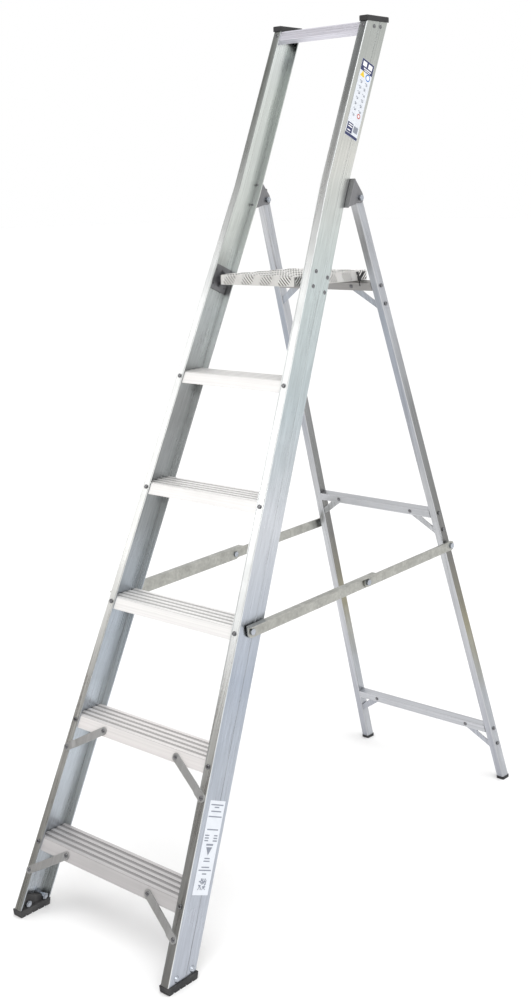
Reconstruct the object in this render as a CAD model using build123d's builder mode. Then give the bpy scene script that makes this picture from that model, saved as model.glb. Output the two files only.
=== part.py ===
from build123d import *

import os
from math import cos, hypot, radians, sin

# Platform step ladder, millimetres, +Z up, climbed from the -Y side.
# The origin is on the floor under the middle of the open ladder.
#
# Two slanted planes carry most of the work.  The front frame is drawn on the face of the
# stiles: X across, s up along the slope, depth going back into the channel.  The rear
# frame is drawn on the face of the rear legs: X across, u up along the leg from the hinge
# bolt, ahead going forward out of the leg's middle.

# ---------------------------------------------------------------- driving dimensions
front_y = -603.5            # front edge of the stiles where they are cut off at the foot
sole_height = 14.0          # rubber under the stiles
stile_lean = 23.0           # stiles lean back from vertical, degrees
foot_half_width = 228.0     # centre to the outer web at the foot
neck_half_width = 138.0     # the same above the neck, where the stiles run parallel
neck_along = 1622.0         # slope length from the foot to the neck
stile_top = 1865.0          # height of the level cut at the top of the stiles

stile_depth = 70.0
flange_width = 20.0
web = 2.4
flange = 2.4
stile_corner = 2.0
groove_width = 1.8
groove_depth = 0.5
web_groove_at = 43.0        # depth of the long groove in the outer face of the web

tread_count = 5
first_tread_height = 153.0
tread_rise = 235.0
tread_wall = 2.2
tread_lip = 24.0
tread_rib_count = 5
tread_rib_height = 1.3
tread_rib_width = 8.0
tread_end_gap = 0.2
tread_rivet_drop = 11.0     # rivets below the tread's top, along the slope

brace_width = 16.0
brace_thickness = 2.4
braced_treads = 2
brace_run = 92.0            # across, from the stile rivet to the tread rivet
brace_drop = 55.0           # along the slope, from the tread rivet to the stile rivet
brace_tread_drop = 14.5     # tread rivet below the tread's top
brace_joggle = 9.0

rail_height = 23.0
rail_depth = 21.0
rail_wall = 2.0
rail_below_top = 0.3        # rail's front top edge below the stile's cut
rail_groove_count = 3

cap_height = 12.0
cap_overhang = 2.5
cap_plug_height = 24.0
cap_plug_gap = 0.3
cap_rivet_depths = (27.5, 48.5)

foot_overhang = 2.0
foot_upstand = 34.0
foot_upstand_width = 12.0
foot_upstand_gap = 1.0
foot_slot_height = 2.5
foot_slot = 4.0
foot_slot_count = 4
foot_bolt_height = 8.4      # above the level cut at the foot
foot_bolt_depths = (18.0, 57.0)
bolt_radius = 4.0
bolt_head_radius = 6.5
bolt_head_height = 3.6
nut_across = 12.0
nut_height = 6.0

deck_top = 1305.0
deck_half_width = 108.0
deck_lip = 22.0
deck_plate = 2.5
deck_rest = 26.2            # rear edge of the deck behind the front of the top crossbar
deck_corner = 2.2
deck_pivot_along = 1406.0   # slope length of the platform's pivot
deck_pivot_depth = 40.0
deck_bracket_length = 58.0
deck_bracket_depth = 53.0
deck_bracket_plate = 3.0
deck_bracket_rivet_pitch = (34.0, 41.0)
deck_boss_radius = 10.0
deck_side_gap = 1.0         # between the deck's lip and the bracket's boss
deck_pin_radius = 5.0
deck_pin_head_radius = 8.0
deck_pin_head = 3.0

hinge_along = 1626.0        # slope length of the rear frame's hinge bolt
hinge_offset = 33.0         # bolt centre behind the stile's rear flange
ear_thickness = 2.5
ear_gap = 22.4              # clear width between a bracket's two ears
ear_inner_x = 126.3
ear_radius = 12.0
hinge_base_length = 68.0
hinge_base_below = 36.0     # part of the base below the bolt, along the slope
hinge_base_plate = 3.0
hinge_rivet_pitch = 50.0
hinge_rivet_margin = 9.0
hinge_bolt_radius = 4.0
running_gap = 0.05          # radial clearance of every turning bolt and pin

leg_width = 19.0
leg_depth = 24.0
leg_wall = 1.8
leg_corner = 2.2
leg_top = 20.0              # leg above the hinge bolt
leg_foot_y = 1196.6         # middle of the leg on the floor, behind the stiles' front edge
leg_hinge_half = 146.8      # centre to the leg's outer face at the hinge bolt
leg_foot_half = 223.0       # the same at the floor
leg_foot_plug = 7.0
leg_plug_overhang = 1.0
leg_top_plug = 4.0

bar_height = 19.0
bar_depth = 18.0
bar_wall = 2.2
bar_end_gap = 0.25
bar_heights = (129.0, 706.5, 1259.2)      # front lower edges of the crossbars
bar_names = ("bottom", "middle", "top")
corner_brace_width = 17.0
corner_brace_thickness = 2.2
corner_brace_tab = 15.0
corner_brace_run = 57.0
corner_brace_drop = 44.0

stay_front_height = 612.0   # front pivot of the stay, above the floor
stay_front_depth = 32.6     # its depth in the stile
stay_rear_height = 637.3    # rear pivot of the stay
stay_standoff = 3.4         # from the stile's web to the inner face of the front link
stay_link_thickness = 3.0
stay_rear_thickness = 4.0
stay_front_width = 25.0
stay_rear_width = 22.0
stay_front_share = 0.534    # front link's share of the open stay's length
stay_flange_width = 11.0
stay_flange_gap = 0.5
stay_stop_length = 26.0     # flange beyond the knee
stay_layer_gap = 0.3
stay_open_gap = 0.8         # rear rivet stops short of the leg

rivet_radius = 2.4
rivet_head_radius = 4.6
rivet_head = 1.8
rivet_tail = 3.2

label_thickness = 0.3
upper_label_span = (1742.0, 1926.0)
lower_label_span = (165.0, 338.0)
label_depths = (15.0, 60.0)

tie_width = 6.0
tie_thickness = 2.0
tie_arm_spread = 27.0
tie_drop = 20.0
tie_tail = 15.0
tie_from_rear = 30.0

parts_folder = "parts"
os.makedirs(parts_folder, exist_ok=True)

# ---------------------------------------------------------------- derived geometry
lean_sin = sin(radians(stile_lean))
lean_cos = cos(radians(stile_lean))
splay = (foot_half_width - neck_half_width) / neck_along
lower_size = hypot(1.0, splay)


def front_point(x, along, depth):
    """A world point from the stiles' face: across, up the slope, back into the channel."""
    return (
        x,
        front_y + along * lean_sin + depth * lean_cos,
        sole_height + along * lean_cos - depth * lean_sin,
    )


def front_plane(depth=0.0):
    """The stiles' face moved back by depth; its local x is X and its local y is along."""
    return Plane(
        origin=front_point(0, 0, depth),
        x_dir=(1, 0, 0),
        z_dir=(0, -lean_cos, lean_sin),
    )


def along_at_height(height, depth=0.0):
    """Slope length where the plane at this depth reaches a height above the floor."""
    return (height - sole_height + depth * lean_sin) / lean_cos


def stile_outer(along):
    """Half width to the outer web at a slope length."""
    return neck_half_width + splay * max(neck_along - along, 0.0)


def web_inner(along):
    """Half width to the inner face of the web at a slope length."""
    return stile_outer(along) - web * (lower_size if along < neck_along else 1.0)


# The hinge bolt, and the rear frame's plane through it.
hinge_depth = stile_depth + hinge_offset
hinge_y = front_point(0, hinge_along, hinge_depth)[1]
hinge_z = front_point(0, hinge_along, hinge_depth)[2]
leg_run = front_y + leg_foot_y - hinge_y
leg_length = hypot(leg_run, hinge_z)
tilt_sin = leg_run / leg_length
tilt_cos = hinge_z / leg_length
leg_splay = (leg_foot_half - leg_hinge_half) / leg_length


def rear_point(x, up, ahead=0.0):
    """A world point from the rear legs' middle: across, up the leg, forward of the middle."""
    return (
        x,
        hinge_y - up * tilt_sin - ahead * tilt_cos,
        hinge_z + up * tilt_cos - ahead * tilt_sin,
    )


def rear_plane(ahead=0.0):
    """The rear legs' middle plane moved forward by ahead."""
    return Plane(
        origin=rear_point(0, 0, ahead),
        x_dir=(1, 0, 0),
        z_dir=(0, -tilt_cos, -tilt_sin),
    )


def up_at_height(height, ahead=0.0):
    """Place along the leg where the plane this far ahead reaches a height."""
    return (height - hinge_z + ahead * tilt_sin) / tilt_cos


def leg_outer(up):
    """Half width to the rear leg's outer face."""
    return leg_hinge_half - leg_splay * up


def side_plane(x):
    """A plane across X; its local x is Y and its local y is Z."""
    return Plane.YZ.offset(x)


def yz(point):
    """The Y and Z of a world point, for a sketch on a side plane."""
    return (point[1], point[2])


def save(part, name):
    """Label one finished piece and write its file."""
    part.label = name
    export_step(part, parts_folder + "/" + name + ".step")


# Places shared by the fasteners and by the holes that take them.
stile_web_inner = neck_half_width - web
tread_tops = [first_tread_height + tread_rise * k for k in range(tread_count)]
tread_alongs = [along_at_height(height, flange) for height in tread_tops]
flange_middle = flange_width / 2 + 0.5


def tread_rivet_points():
    """Rivets through both flanges of the right stile, one for each tread."""
    points = []
    for along in tread_alongs:
        level = along - tread_rivet_drop
        points.append((stile_outer(level) - flange_middle, level))
    return points


def brace_ends():
    """Tread end and stile end of each right-hand knee brace."""
    ends = []
    for along in tread_alongs[:braced_treads]:
        upper = along - brace_tread_drop
        lower = upper - brace_drop
        stile_x = stile_outer(lower) - flange_middle
        ends.append(((stile_x - brace_run, upper), (stile_x, lower)))
    return ends


rail_along = along_at_height(stile_top - rail_below_top)
rail_rivet_point = (neck_half_width - flange_middle, rail_along - rail_height / 2)

hinge_rivet_x = (ear_inner_x + neck_half_width) / 2
hinge_rivet_low = hinge_along - hinge_base_below + hinge_rivet_margin
hinge_rivet_points = [
    (hinge_rivet_x, hinge_rivet_low),
    (hinge_rivet_x, hinge_rivet_low + hinge_rivet_pitch),
]

foot_bolt_places = [
    (depth, along_at_height(sole_height + foot_bolt_height, depth))
    for depth in foot_bolt_depths
]
cap_rivet_places = [
    (depth, along_at_height(stile_top - cap_plug_height / 2, depth))
    for depth in cap_rivet_depths
]
deck_rivet_places = [
    (deck_pivot_depth + sx * deck_bracket_rivet_pitch[1] / 2,
     deck_pivot_along + sy * deck_bracket_rivet_pitch[0] / 2)
    for sx in (-1, 1)
    for sy in (-1, 1)
]
stay_front_along = along_at_height(stay_front_height, stay_front_depth)
stay_plane = stile_outer(stay_front_along) + stay_standoff


def web_normal(along):
    """Unit outward normal of the right stile's web, as a world vector."""
    slope = splay if along < neck_along else 0.0
    size = hypot(1.0, slope)
    return (1 / size, slope * lean_sin / size, slope * lean_cos / size)


def web_plane(depth, along, out=0.0):
    """Plane on the right web's outer face, moved outwards by out."""
    normal = web_normal(along)
    base = front_point(stile_outer(along), along, depth)
    origin = tuple(b + n * out for b, n in zip(base, normal))
    return Plane(origin=origin, x_dir=(0, lean_cos, -lean_sin), z_dir=normal)


def leg_side_plane(up, out=0.0):
    """Plane on the right rear leg's outer face, moved outwards by out."""
    size = hypot(1.0, leg_splay)
    normal = (1 / size, -leg_splay * tilt_sin / size, leg_splay * tilt_cos / size)
    base = rear_point(leg_outer(up), up)
    origin = tuple(b + n * out for b, n in zip(base, normal))
    return Plane(origin=origin, x_dir=(0, tilt_cos, tilt_sin), z_dir=normal)


# ---------------------------------------------------------------- stiles
# Each stile is one C extrusion, bent at the neck, cut level at both ends.
stile_start = -40.0
stile_end = neck_along + 480.0
right_outward = (
    1 / lower_size,
    splay * lean_sin / lower_size,
    splay * lean_cos / lower_size,
)
stile_tangent = (
    -splay / lower_size,
    lean_sin / lower_size,
    lean_cos / lower_size,
)
section_plane = Plane(
    origin=front_point(stile_outer(stile_start), stile_start, 0),
    x_dir=right_outward,
    z_dir=stile_tangent,
)

with BuildPart() as right_stile:
    with BuildLine() as stile_path:
        Polyline(
            front_point(stile_outer(stile_start), stile_start, 0),
            front_point(neck_half_width, neck_along, 0),
            front_point(neck_half_width, stile_end, 0),
        )
    with BuildSketch(section_plane) as stile_section:
        with Locations((-flange_width / 2, stile_depth / 2)):
            Rectangle(flange_width, stile_depth)
        fillet(stile_section.vertices().group_by(Axis.X)[-1], radius=stile_corner)
        with Locations((-(flange_width + web) / 2, stile_depth / 2)):
            Rectangle(
                flange_width - web, stile_depth - 2 * flange, mode=Mode.SUBTRACT
            )
        with Locations((-groove_depth / 2, web_groove_at)):
            Rectangle(groove_depth, groove_width, mode=Mode.SUBTRACT)
        with Locations((2.5 - flange_width, groove_depth / 2)):
            Rectangle(groove_width / 2, groove_depth, mode=Mode.SUBTRACT)
    sweep(path=stile_path.wires()[0], transition=Transition.RIGHT)
    middle_y = front_point(0, neck_along / 2, 0)[1]
    with Locations((0, middle_y, (sole_height + stile_top) / 2)):
        Box(1000, 3000, stile_top - sole_height, mode=Mode.INTERSECT)
    # Rivet holes in the two flanges.
    with BuildSketch(front_plane(-1)):
        with Locations(*tread_rivet_points()):
            Circle(rivet_radius)
        with Locations(*[ends[1] for ends in brace_ends()]):
            Circle(rivet_radius)
        with Locations(rail_rivet_point):
            Circle(rivet_radius)
    extrude(amount=-(flange + 2), mode=Mode.SUBTRACT)
    with BuildSketch(front_plane(stile_depth - flange - 1)):
        with Locations(*tread_rivet_points()):
            Circle(rivet_radius)
        with Locations(*hinge_rivet_points):
            Circle(rivet_radius)
    extrude(amount=-(flange + 2), mode=Mode.SUBTRACT)
    # Holes in the web for the foot bolts, the cap and platform rivets and the stay bolt.
    for depth, along in foot_bolt_places:
        with BuildSketch(web_plane(depth, along, out=1)):
            Circle(bolt_radius)
        extrude(amount=-(web + 2), mode=Mode.SUBTRACT)
    for depth, along in cap_rivet_places + deck_rivet_places:
        with BuildSketch(web_plane(depth, along, out=1)):
            Circle(rivet_radius)
        extrude(amount=-(web + 2), mode=Mode.SUBTRACT)
    stay_point = front_point(0, stay_front_along, stay_front_depth)
    with BuildSketch(side_plane(stile_outer(stay_front_along) - 10)):
        with Locations(yz(stay_point)):
            Circle(bolt_radius)
    extrude(amount=20, mode=Mode.SUBTRACT)
save(right_stile.part, "right_stile")

with BuildPart() as left_stile:
    mirror(right_stile.part, about=Plane.YZ)
save(left_stile.part, "left_stile")

# ---------------------------------------------------------------- treads
# A tread is a ribbed extrusion with a lip down the front flange and one down the rear.
tread_front_depth = flange
tread_rear_depth = stile_depth - flange


def tread_section(top):
    """Outline of a tread at its left end, as Y and Z points, without its ribs."""
    front_top = along_at_height(top - tread_rib_height, tread_front_depth)
    rear_top = along_at_height(top - tread_rib_height, tread_rear_depth)
    inner_front = tread_front_depth + tread_wall
    inner_rear = tread_rear_depth - tread_wall
    under = top - tread_rib_height - tread_wall
    return [
        yz(front_point(0, front_top, tread_front_depth)),
        yz(front_point(0, rear_top, tread_rear_depth)),
        yz(front_point(0, rear_top - tread_lip, tread_rear_depth)),
        yz(front_point(0, rear_top - tread_lip, inner_rear)),
        yz(front_point(0, along_at_height(under, inner_rear), inner_rear)),
        yz(front_point(0, along_at_height(under, inner_front), inner_front)),
        yz(front_point(0, front_top - tread_lip, inner_front)),
        yz(front_point(0, front_top - tread_lip, tread_front_depth)),
    ]


for number, top in enumerate(tread_tops, start=1):
    narrow_along = along_at_height(top, tread_rear_depth)
    tread_half = web_inner(narrow_along) - tread_end_gap
    plate_top = top - tread_rib_height
    front_edge = front_point(0, along_at_height(top, flange), flange)[1]
    rear_depth = tread_rear_depth
    rear_edge = front_point(0, along_at_height(plate_top, rear_depth), rear_depth)[1]
    rib_room = rear_edge - front_edge - tread_rib_width
    rib_pitch = rib_room / (tread_rib_count - 1)
    rib_middle = (front_edge + rear_edge) / 2
    with BuildPart() as tread:
        with BuildSketch(side_plane(-tread_half)):
            with BuildLine():
                Polyline(*tread_section(top), close=True)
            make_face()
            with Locations((rib_middle, plate_top + tread_rib_height / 2)):
                with GridLocations(rib_pitch, 1, tread_rib_count, 1):
                    Rectangle(tread_rib_width, tread_rib_height)
        extrude(amount=2 * tread_half)
        rivets = [tread_rivet_points()[number - 1]]
        for x, along in list(rivets):
            rivets.append((-x, along))
        with BuildSketch(front_plane(0)):
            with Locations(*rivets):
                Circle(rivet_radius)
        extrude(amount=-(flange + tread_wall + 1), mode=Mode.SUBTRACT)
        with BuildSketch(front_plane(stile_depth)):
            with Locations(*rivets):
                Circle(rivet_radius)
        extrude(amount=flange + tread_wall + 1, mode=Mode.SUBTRACT)
        if number <= braced_treads:
            brace_x, brace_along = brace_ends()[number - 1][0]
            with BuildSketch(front_plane(0)):
                with Locations((brace_x, brace_along), (-brace_x, brace_along)):
                    Circle(rivet_radius)
            extrude(amount=-(flange + tread_wall + 1), mode=Mode.SUBTRACT)
    save(tread.part, "tread_" + str(number))

with BuildPart() as tread_rivets:
    for x, along in tread_rivet_points():
        with BuildSketch(front_plane(-rivet_head)):
            with Locations((x, along)):
                Circle(rivet_head_radius * 0.72)
        with BuildSketch(front_plane(0)):
            with Locations((x, along)):
                Circle(rivet_head_radius)
        loft()
        with BuildSketch(front_plane(0)):
            with Locations((x, along)):
                Circle(rivet_radius)
        extrude(amount=-(flange + tread_wall + 1.5))
        with BuildSketch(front_plane(stile_depth)):
            with Locations((x, along)):
                Circle(rivet_head_radius)
        extrude(amount=-rivet_head)
        with BuildSketch(front_plane(stile_depth)):
            with Locations((x, along)):
                Circle(rivet_radius)
        extrude(amount=flange + tread_wall + 1.5)
    mirror(about=Plane.YZ)
save(tread_rivets.part, "tread_rivets")

# ---------------------------------------------------------------- knee braces
# A flat bar with a joggle: its lower end lies on the stile's front flange, and its upper
# end one flange thickness further back, on the tread's lip.
for number, (upper_end, lower_end) in enumerate(brace_ends(), start=1):
    span_x = upper_end[0] - lower_end[0]
    span_s = upper_end[1] - lower_end[1]
    brace_length = hypot(span_x, span_s)
    direction = (span_x / brace_length, span_s / brace_length)
    run = Vector(
        direction[0], direction[1] * lean_sin, direction[1] * lean_cos
    )
    out = Vector(0, -lean_cos, lean_sin)
    edge = out.cross(run)
    lower_point = front_point(lower_end[0], lower_end[1], 0)
    profile_plane = Plane(origin=lower_point, x_dir=run, z_dir=run.cross(out))
    bend_start = flange_middle + 6
    bend_end = bend_start + brace_joggle
    tail = brace_width / 2
    with BuildPart() as brace:
        with BuildSketch(profile_plane):
            with BuildLine():
                Polyline(
                    (-tail, 0),
                    (bend_start, 0),
                    (bend_end, -flange),
                    (brace_length + tail, -flange),
                    (brace_length + tail, brace_thickness - flange),
                    (bend_end, brace_thickness - flange),
                    (bend_start, brace_thickness),
                    (-tail, brace_thickness),
                    close=True,
                )
            make_face()
        extrude(amount=brace_width / 2, both=True)
        with BuildSketch(Plane(origin=lower_point, x_dir=run, z_dir=out)):
            with Locations((brace_length / 2, 0)):
                SlotCenterToCenter(brace_length, brace_width)
        extrude(amount=10, both=True, mode=Mode.INTERSECT)
        with BuildSketch(Plane(origin=lower_point, x_dir=run, z_dir=out)):
            with Locations((0, 0), (brace_length, 0)):
                Circle(rivet_radius)
        extrude(amount=10, both=True, mode=Mode.SUBTRACT)
    save(brace.part, "right_knee_brace_" + str(number))
    with BuildPart() as left_brace:
        mirror(brace.part, about=Plane.YZ)
    save(left_brace.part, "left_knee_brace_" + str(number))

with BuildPart() as knee_brace_rivets:
    for upper_end, lower_end in brace_ends():
        for (x, along), back in ((upper_end, flange), (lower_end, 0.0)):
            seat = back - brace_thickness
            with BuildSketch(front_plane(seat)):
                with Locations((x, along)):
                    Circle(rivet_head_radius)
            extrude(amount=rivet_head)
            with BuildSketch(front_plane(seat)):
                with Locations((x, along)):
                    Circle(rivet_radius)
            extrude(amount=-(brace_thickness + flange + 1.5))
    mirror(about=Plane.YZ)
save(knee_brace_rivets.part, "knee_brace_rivets")

# ---------------------------------------------------------------- top rail
rail_half = neck_half_width - web - tread_end_gap
with BuildPart() as top_rail:
    with BuildSketch(front_plane(flange)):
        with Locations((0, rail_along - rail_height / 2)):
            Rectangle(2 * rail_half, rail_height)
    extrude(amount=-rail_depth)
    fillet(top_rail.edges().filter_by(Axis.X), radius=1.5)
    with BuildSketch(front_plane(flange + rail_wall)):
        with Locations((0, rail_along - rail_height / 2)):
            Rectangle(2 * rail_half + 2, rail_height - 2 * rail_wall)
    extrude(amount=-(rail_depth - 2 * rail_wall), mode=Mode.SUBTRACT)
    rail_groove_pitch = rail_height / (rail_groove_count + 1)
    with BuildSketch(front_plane(flange)):
        with Locations((0, rail_along - rail_height / 2)):
            with GridLocations(1, rail_groove_pitch, 1, rail_groove_count):
                Rectangle(2 * rail_half + 2, groove_width)
    extrude(amount=-groove_depth, mode=Mode.SUBTRACT)
    with BuildSketch(front_plane(0)):
        with Locations(rail_rivet_point, (-rail_rivet_point[0], rail_rivet_point[1])):
            Circle(rivet_radius)
    extrude(amount=-(flange + rail_wall + 1), mode=Mode.SUBTRACT)
save(top_rail.part, "top_rail")

with BuildPart() as rail_rivets:
    with BuildSketch(front_plane(0)):
        with Locations(rail_rivet_point):
            Circle(rivet_head_radius)
    extrude(amount=rivet_head)
    with BuildSketch(front_plane(0)):
        with Locations(rail_rivet_point):
            Circle(rivet_radius)
    extrude(amount=-(flange + rail_wall + 1.5))
    mirror(about=Plane.YZ)
save(rail_rivets.part, "rail_rivets")

# ---------------------------------------------------------------- stile caps
cut_front = front_point(0, along_at_height(stile_top), 0)[1]
cut_length = stile_depth / lean_cos
cap_front = cut_front - cap_overhang
cap_length = cut_length + 2 * cap_overhang
cap_plug_front = flange + rail_depth + cap_plug_gap
cap_plug_back = stile_depth - flange - cap_plug_gap
cap_plug_x = neck_half_width - web

with BuildPart() as right_cap:
    with BuildSketch(Plane.XY.offset(stile_top)):
        with Locations(
            (neck_half_width - flange_width / 2, cap_front + cap_length / 2)
        ):
            RectangleRounded(flange_width + 2 * cap_overhang, cap_length, 3)
    extrude(amount=cap_height)
    fillet(right_cap.faces().sort_by(Axis.Z)[-1].edges(), radius=2)
    with BuildSketch(Plane.XY.offset(stile_top)):
        with BuildLine():
            Polyline(
                (
                    cap_plug_x - 13,
                    front_point(0, along_at_height(stile_top, cap_plug_front),
                                cap_plug_front)[1],
                ),
                (
                    cap_plug_x,
                    front_point(0, along_at_height(stile_top, cap_plug_front),
                                cap_plug_front)[1],
                ),
                (
                    cap_plug_x,
                    front_point(0, along_at_height(stile_top, cap_plug_back),
                                cap_plug_back)[1],
                ),
                (
                    cap_plug_x - 13,
                    front_point(0, along_at_height(stile_top, cap_plug_back),
                                cap_plug_back)[1],
                ),
                close=True,
            )
        make_face()
    extrude(amount=cap_plug_height / lean_cos, dir=(0, -lean_sin, -lean_cos))
    for depth, along in cap_rivet_places:
        with BuildSketch(web_plane(depth, along)):
            Circle(rivet_radius)
        extrude(amount=-(web + 9), mode=Mode.SUBTRACT)
save(right_cap.part, "right_cap")

with BuildPart() as left_cap:
    mirror(right_cap.part, about=Plane.YZ)
save(left_cap.part, "left_cap")

with BuildPart() as cap_rivets:
    for depth, along in cap_rivet_places:
        with BuildSketch(web_plane(depth, along)):
            Circle(rivet_head_radius)
        extrude(amount=rivet_head)
        with BuildSketch(web_plane(depth, along)):
            Circle(rivet_radius)
        extrude(amount=-(web + 8))
    mirror(about=Plane.YZ)
save(cap_rivets.part, "cap_rivets")

# ---------------------------------------------------------------- front feet
foot_middle_x = stile_outer(0) - flange_width / 2
foot_front = front_y - foot_overhang
foot_length = stile_depth / lean_cos + 2 * foot_overhang

with BuildPart() as right_foot:
    # The upstand lies against the web inside the channel and is cut level at the sole.
    with BuildSketch(front_plane(flange + foot_upstand_gap)):
        with BuildLine():
            Polyline(
                (web_inner(stile_start), stile_start),
                (web_inner(foot_upstand), foot_upstand),
                (
                    web_inner(foot_upstand) - foot_upstand_width,
                    foot_upstand,
                ),
                (
                    web_inner(stile_start) - foot_upstand_width,
                    stile_start,
                ),
                close=True,
            )
        make_face()
    extrude(amount=-(stile_depth - 2 * flange - 2 * foot_upstand_gap))
    with Locations((0, foot_front, sole_height + 500 - 1)):
        Box(2000, 2000, 1000, mode=Mode.INTERSECT)
    with BuildSketch(side_plane(foot_middle_x - flange_width / 2 - foot_overhang)):
        with BuildLine():
            Polyline(
                (foot_front, sole_height),
                (foot_front + 2, 1.5),
                (foot_front + 4, 0),
                (foot_front + foot_length - 4, 0),
                (foot_front + foot_length - 2, 1.5),
                (foot_front + foot_length, sole_height),
                close=True,
            )
        make_face()
        with Locations((foot_front + foot_length / 2, foot_slot_height / 2)):
            with GridLocations(foot_length / (foot_slot_count + 1), 1, foot_slot_count, 1):
                Rectangle(foot_slot, foot_slot_height, mode=Mode.SUBTRACT)
    extrude(amount=flange_width + 2 * foot_overhang)
    for depth, along in foot_bolt_places:
        with BuildSketch(web_plane(depth, along)):
            Circle(bolt_radius)
        extrude(amount=-(web + foot_upstand_width + 5), mode=Mode.SUBTRACT)
save(right_foot.part, "right_foot")

with BuildPart() as left_foot:
    mirror(right_foot.part, about=Plane.YZ)
save(left_foot.part, "left_foot")

bolt_grip = web + foot_upstand_width
with BuildPart() as foot_bolts:
    for depth, along in foot_bolt_places:
        with BuildSketch(web_plane(depth, along)):
            Circle(bolt_head_radius)
        with BuildSketch(web_plane(depth, along, out=bolt_head_height)):
            Circle(bolt_head_radius * 0.55)
        loft()
        with BuildSketch(web_plane(depth, along)):
            Circle(bolt_radius)
        extrude(amount=-(bolt_grip + nut_height + 1))
    mirror(about=Plane.YZ)
save(foot_bolts.part, "foot_bolts")

with BuildPart() as foot_nuts:
    for depth, along in foot_bolt_places:
        with BuildSketch(web_plane(depth, along, out=-bolt_grip)):
            RegularPolygon(nut_across / 2, 6, major_radius=False)
            Circle(bolt_radius, mode=Mode.SUBTRACT)
        extrude(amount=-nut_height)
    mirror(about=Plane.YZ)
save(foot_nuts.part, "foot_nuts")

# ---------------------------------------------------------------- platform brackets
deck_pivot = front_point(0, deck_pivot_along, deck_pivot_depth)
bracket_face_x = web_inner(deck_pivot_along)
boss_inner_x = deck_half_width + deck_side_gap
pin_length = bracket_face_x - deck_bracket_plate - 3 - deck_half_width

with BuildPart() as right_deck_bracket:
    with BuildSketch(
        front_plane(deck_pivot_depth - deck_bracket_depth / 2)
    ):
        low = deck_pivot_along - deck_bracket_length / 2
        high = deck_pivot_along + deck_bracket_length / 2
        with BuildLine():
            Polyline(
                (web_inner(low), low),
                (web_inner(high), high),
                (web_inner(high) - deck_bracket_plate, high),
                (web_inner(low) - deck_bracket_plate, low),
                close=True,
            )
        make_face()
    extrude(amount=-deck_bracket_depth)
    with BuildSketch(side_plane(boss_inner_x)):
        with Locations(yz(deck_pivot)):
            Circle(deck_boss_radius)
    extrude(amount=bracket_face_x - deck_bracket_plate / 2 - boss_inner_x)
    # Two gussets carry the boss down and up to the base plate.
    with BuildSketch(front_plane(deck_pivot_depth - 2)):
        with BuildLine():
            Polyline(
                (boss_inner_x + 4, deck_pivot_along),
                (web_inner(high - 8) - deck_bracket_plate / 2, high - 8),
                (web_inner(low + 8) - deck_bracket_plate / 2, low + 8),
                close=True,
            )
        make_face()
    extrude(amount=-4)
    with BuildSketch(side_plane(boss_inner_x - 1)):
        with Locations(yz(deck_pivot)):
            Circle(deck_pin_radius + running_gap)
    extrude(amount=pin_length + 1, mode=Mode.SUBTRACT)
    for depth, along in deck_rivet_places:
        with BuildSketch(web_plane(depth, along)):
            Circle(rivet_radius)
        extrude(amount=-(web + deck_bracket_plate + 3), mode=Mode.SUBTRACT)
save(right_deck_bracket.part, "right_deck_bracket")

with BuildPart() as left_deck_bracket:
    mirror(right_deck_bracket.part, about=Plane.YZ)
save(left_deck_bracket.part, "left_deck_bracket")

with BuildPart() as deck_bracket_rivets:
    for depth, along in deck_rivet_places:
        with BuildSketch(web_plane(depth, along)):
            Circle(rivet_head_radius)
        extrude(amount=rivet_head)
        with BuildSketch(web_plane(depth, along)):
            Circle(rivet_radius)
        extrude(amount=-(web + deck_bracket_plate + 1.5))
    mirror(about=Plane.YZ)
save(deck_bracket_rivets.part, "deck_bracket_rivets")

# ---------------------------------------------------------------- platform deck
deck_front_y = front_point(0, along_at_height(deck_top), 0)[1]
deck_rest_up = up_at_height(bar_heights[-1], leg_depth / 2) + bar_height
deck_rest_y = rear_point(0, deck_rest_up, leg_depth / 2)[1]
deck_length = deck_rest_y + deck_rest - deck_front_y
deck_middle_y = deck_front_y + deck_length / 2
with BuildPart() as deck:
    with BuildSketch(Plane.XY.offset(deck_top - deck_lip)):
        with Locations((0, deck_middle_y)):
            Rectangle(2 * deck_half_width, deck_length)
    extrude(amount=deck_lip)
    fillet(deck.faces().sort_by(Axis.Z)[-1].edges(), radius=deck_corner)
    with BuildSketch(Plane.XY.offset(deck_top - deck_lip)):
        with Locations((0, deck_middle_y)):
            Rectangle(
                2 * (deck_half_width - deck_plate), deck_length - 2 * deck_plate
            )
    extrude(amount=deck_lip - deck_plate, mode=Mode.SUBTRACT)
    with BuildSketch(side_plane(-deck_half_width - 1)):
        with Locations(yz(deck_pivot)):
            Circle(deck_pin_radius)
    extrude(amount=2 * deck_half_width + 2, mode=Mode.SUBTRACT)
save(deck.part, "platform_deck")

with BuildPart() as deck_pins:
    with BuildSketch(side_plane(deck_half_width - deck_plate)):
        with Locations(yz(deck_pivot)):
            Circle(deck_pin_head_radius)
    extrude(amount=-deck_pin_head)
    with BuildSketch(side_plane(deck_half_width - deck_plate)):
        with Locations(yz(deck_pivot)):
            Circle(deck_pin_radius)
    extrude(amount=deck_plate + pin_length)
    mirror(about=Plane.YZ)
save(deck_pins.part, "deck_pins")

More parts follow.
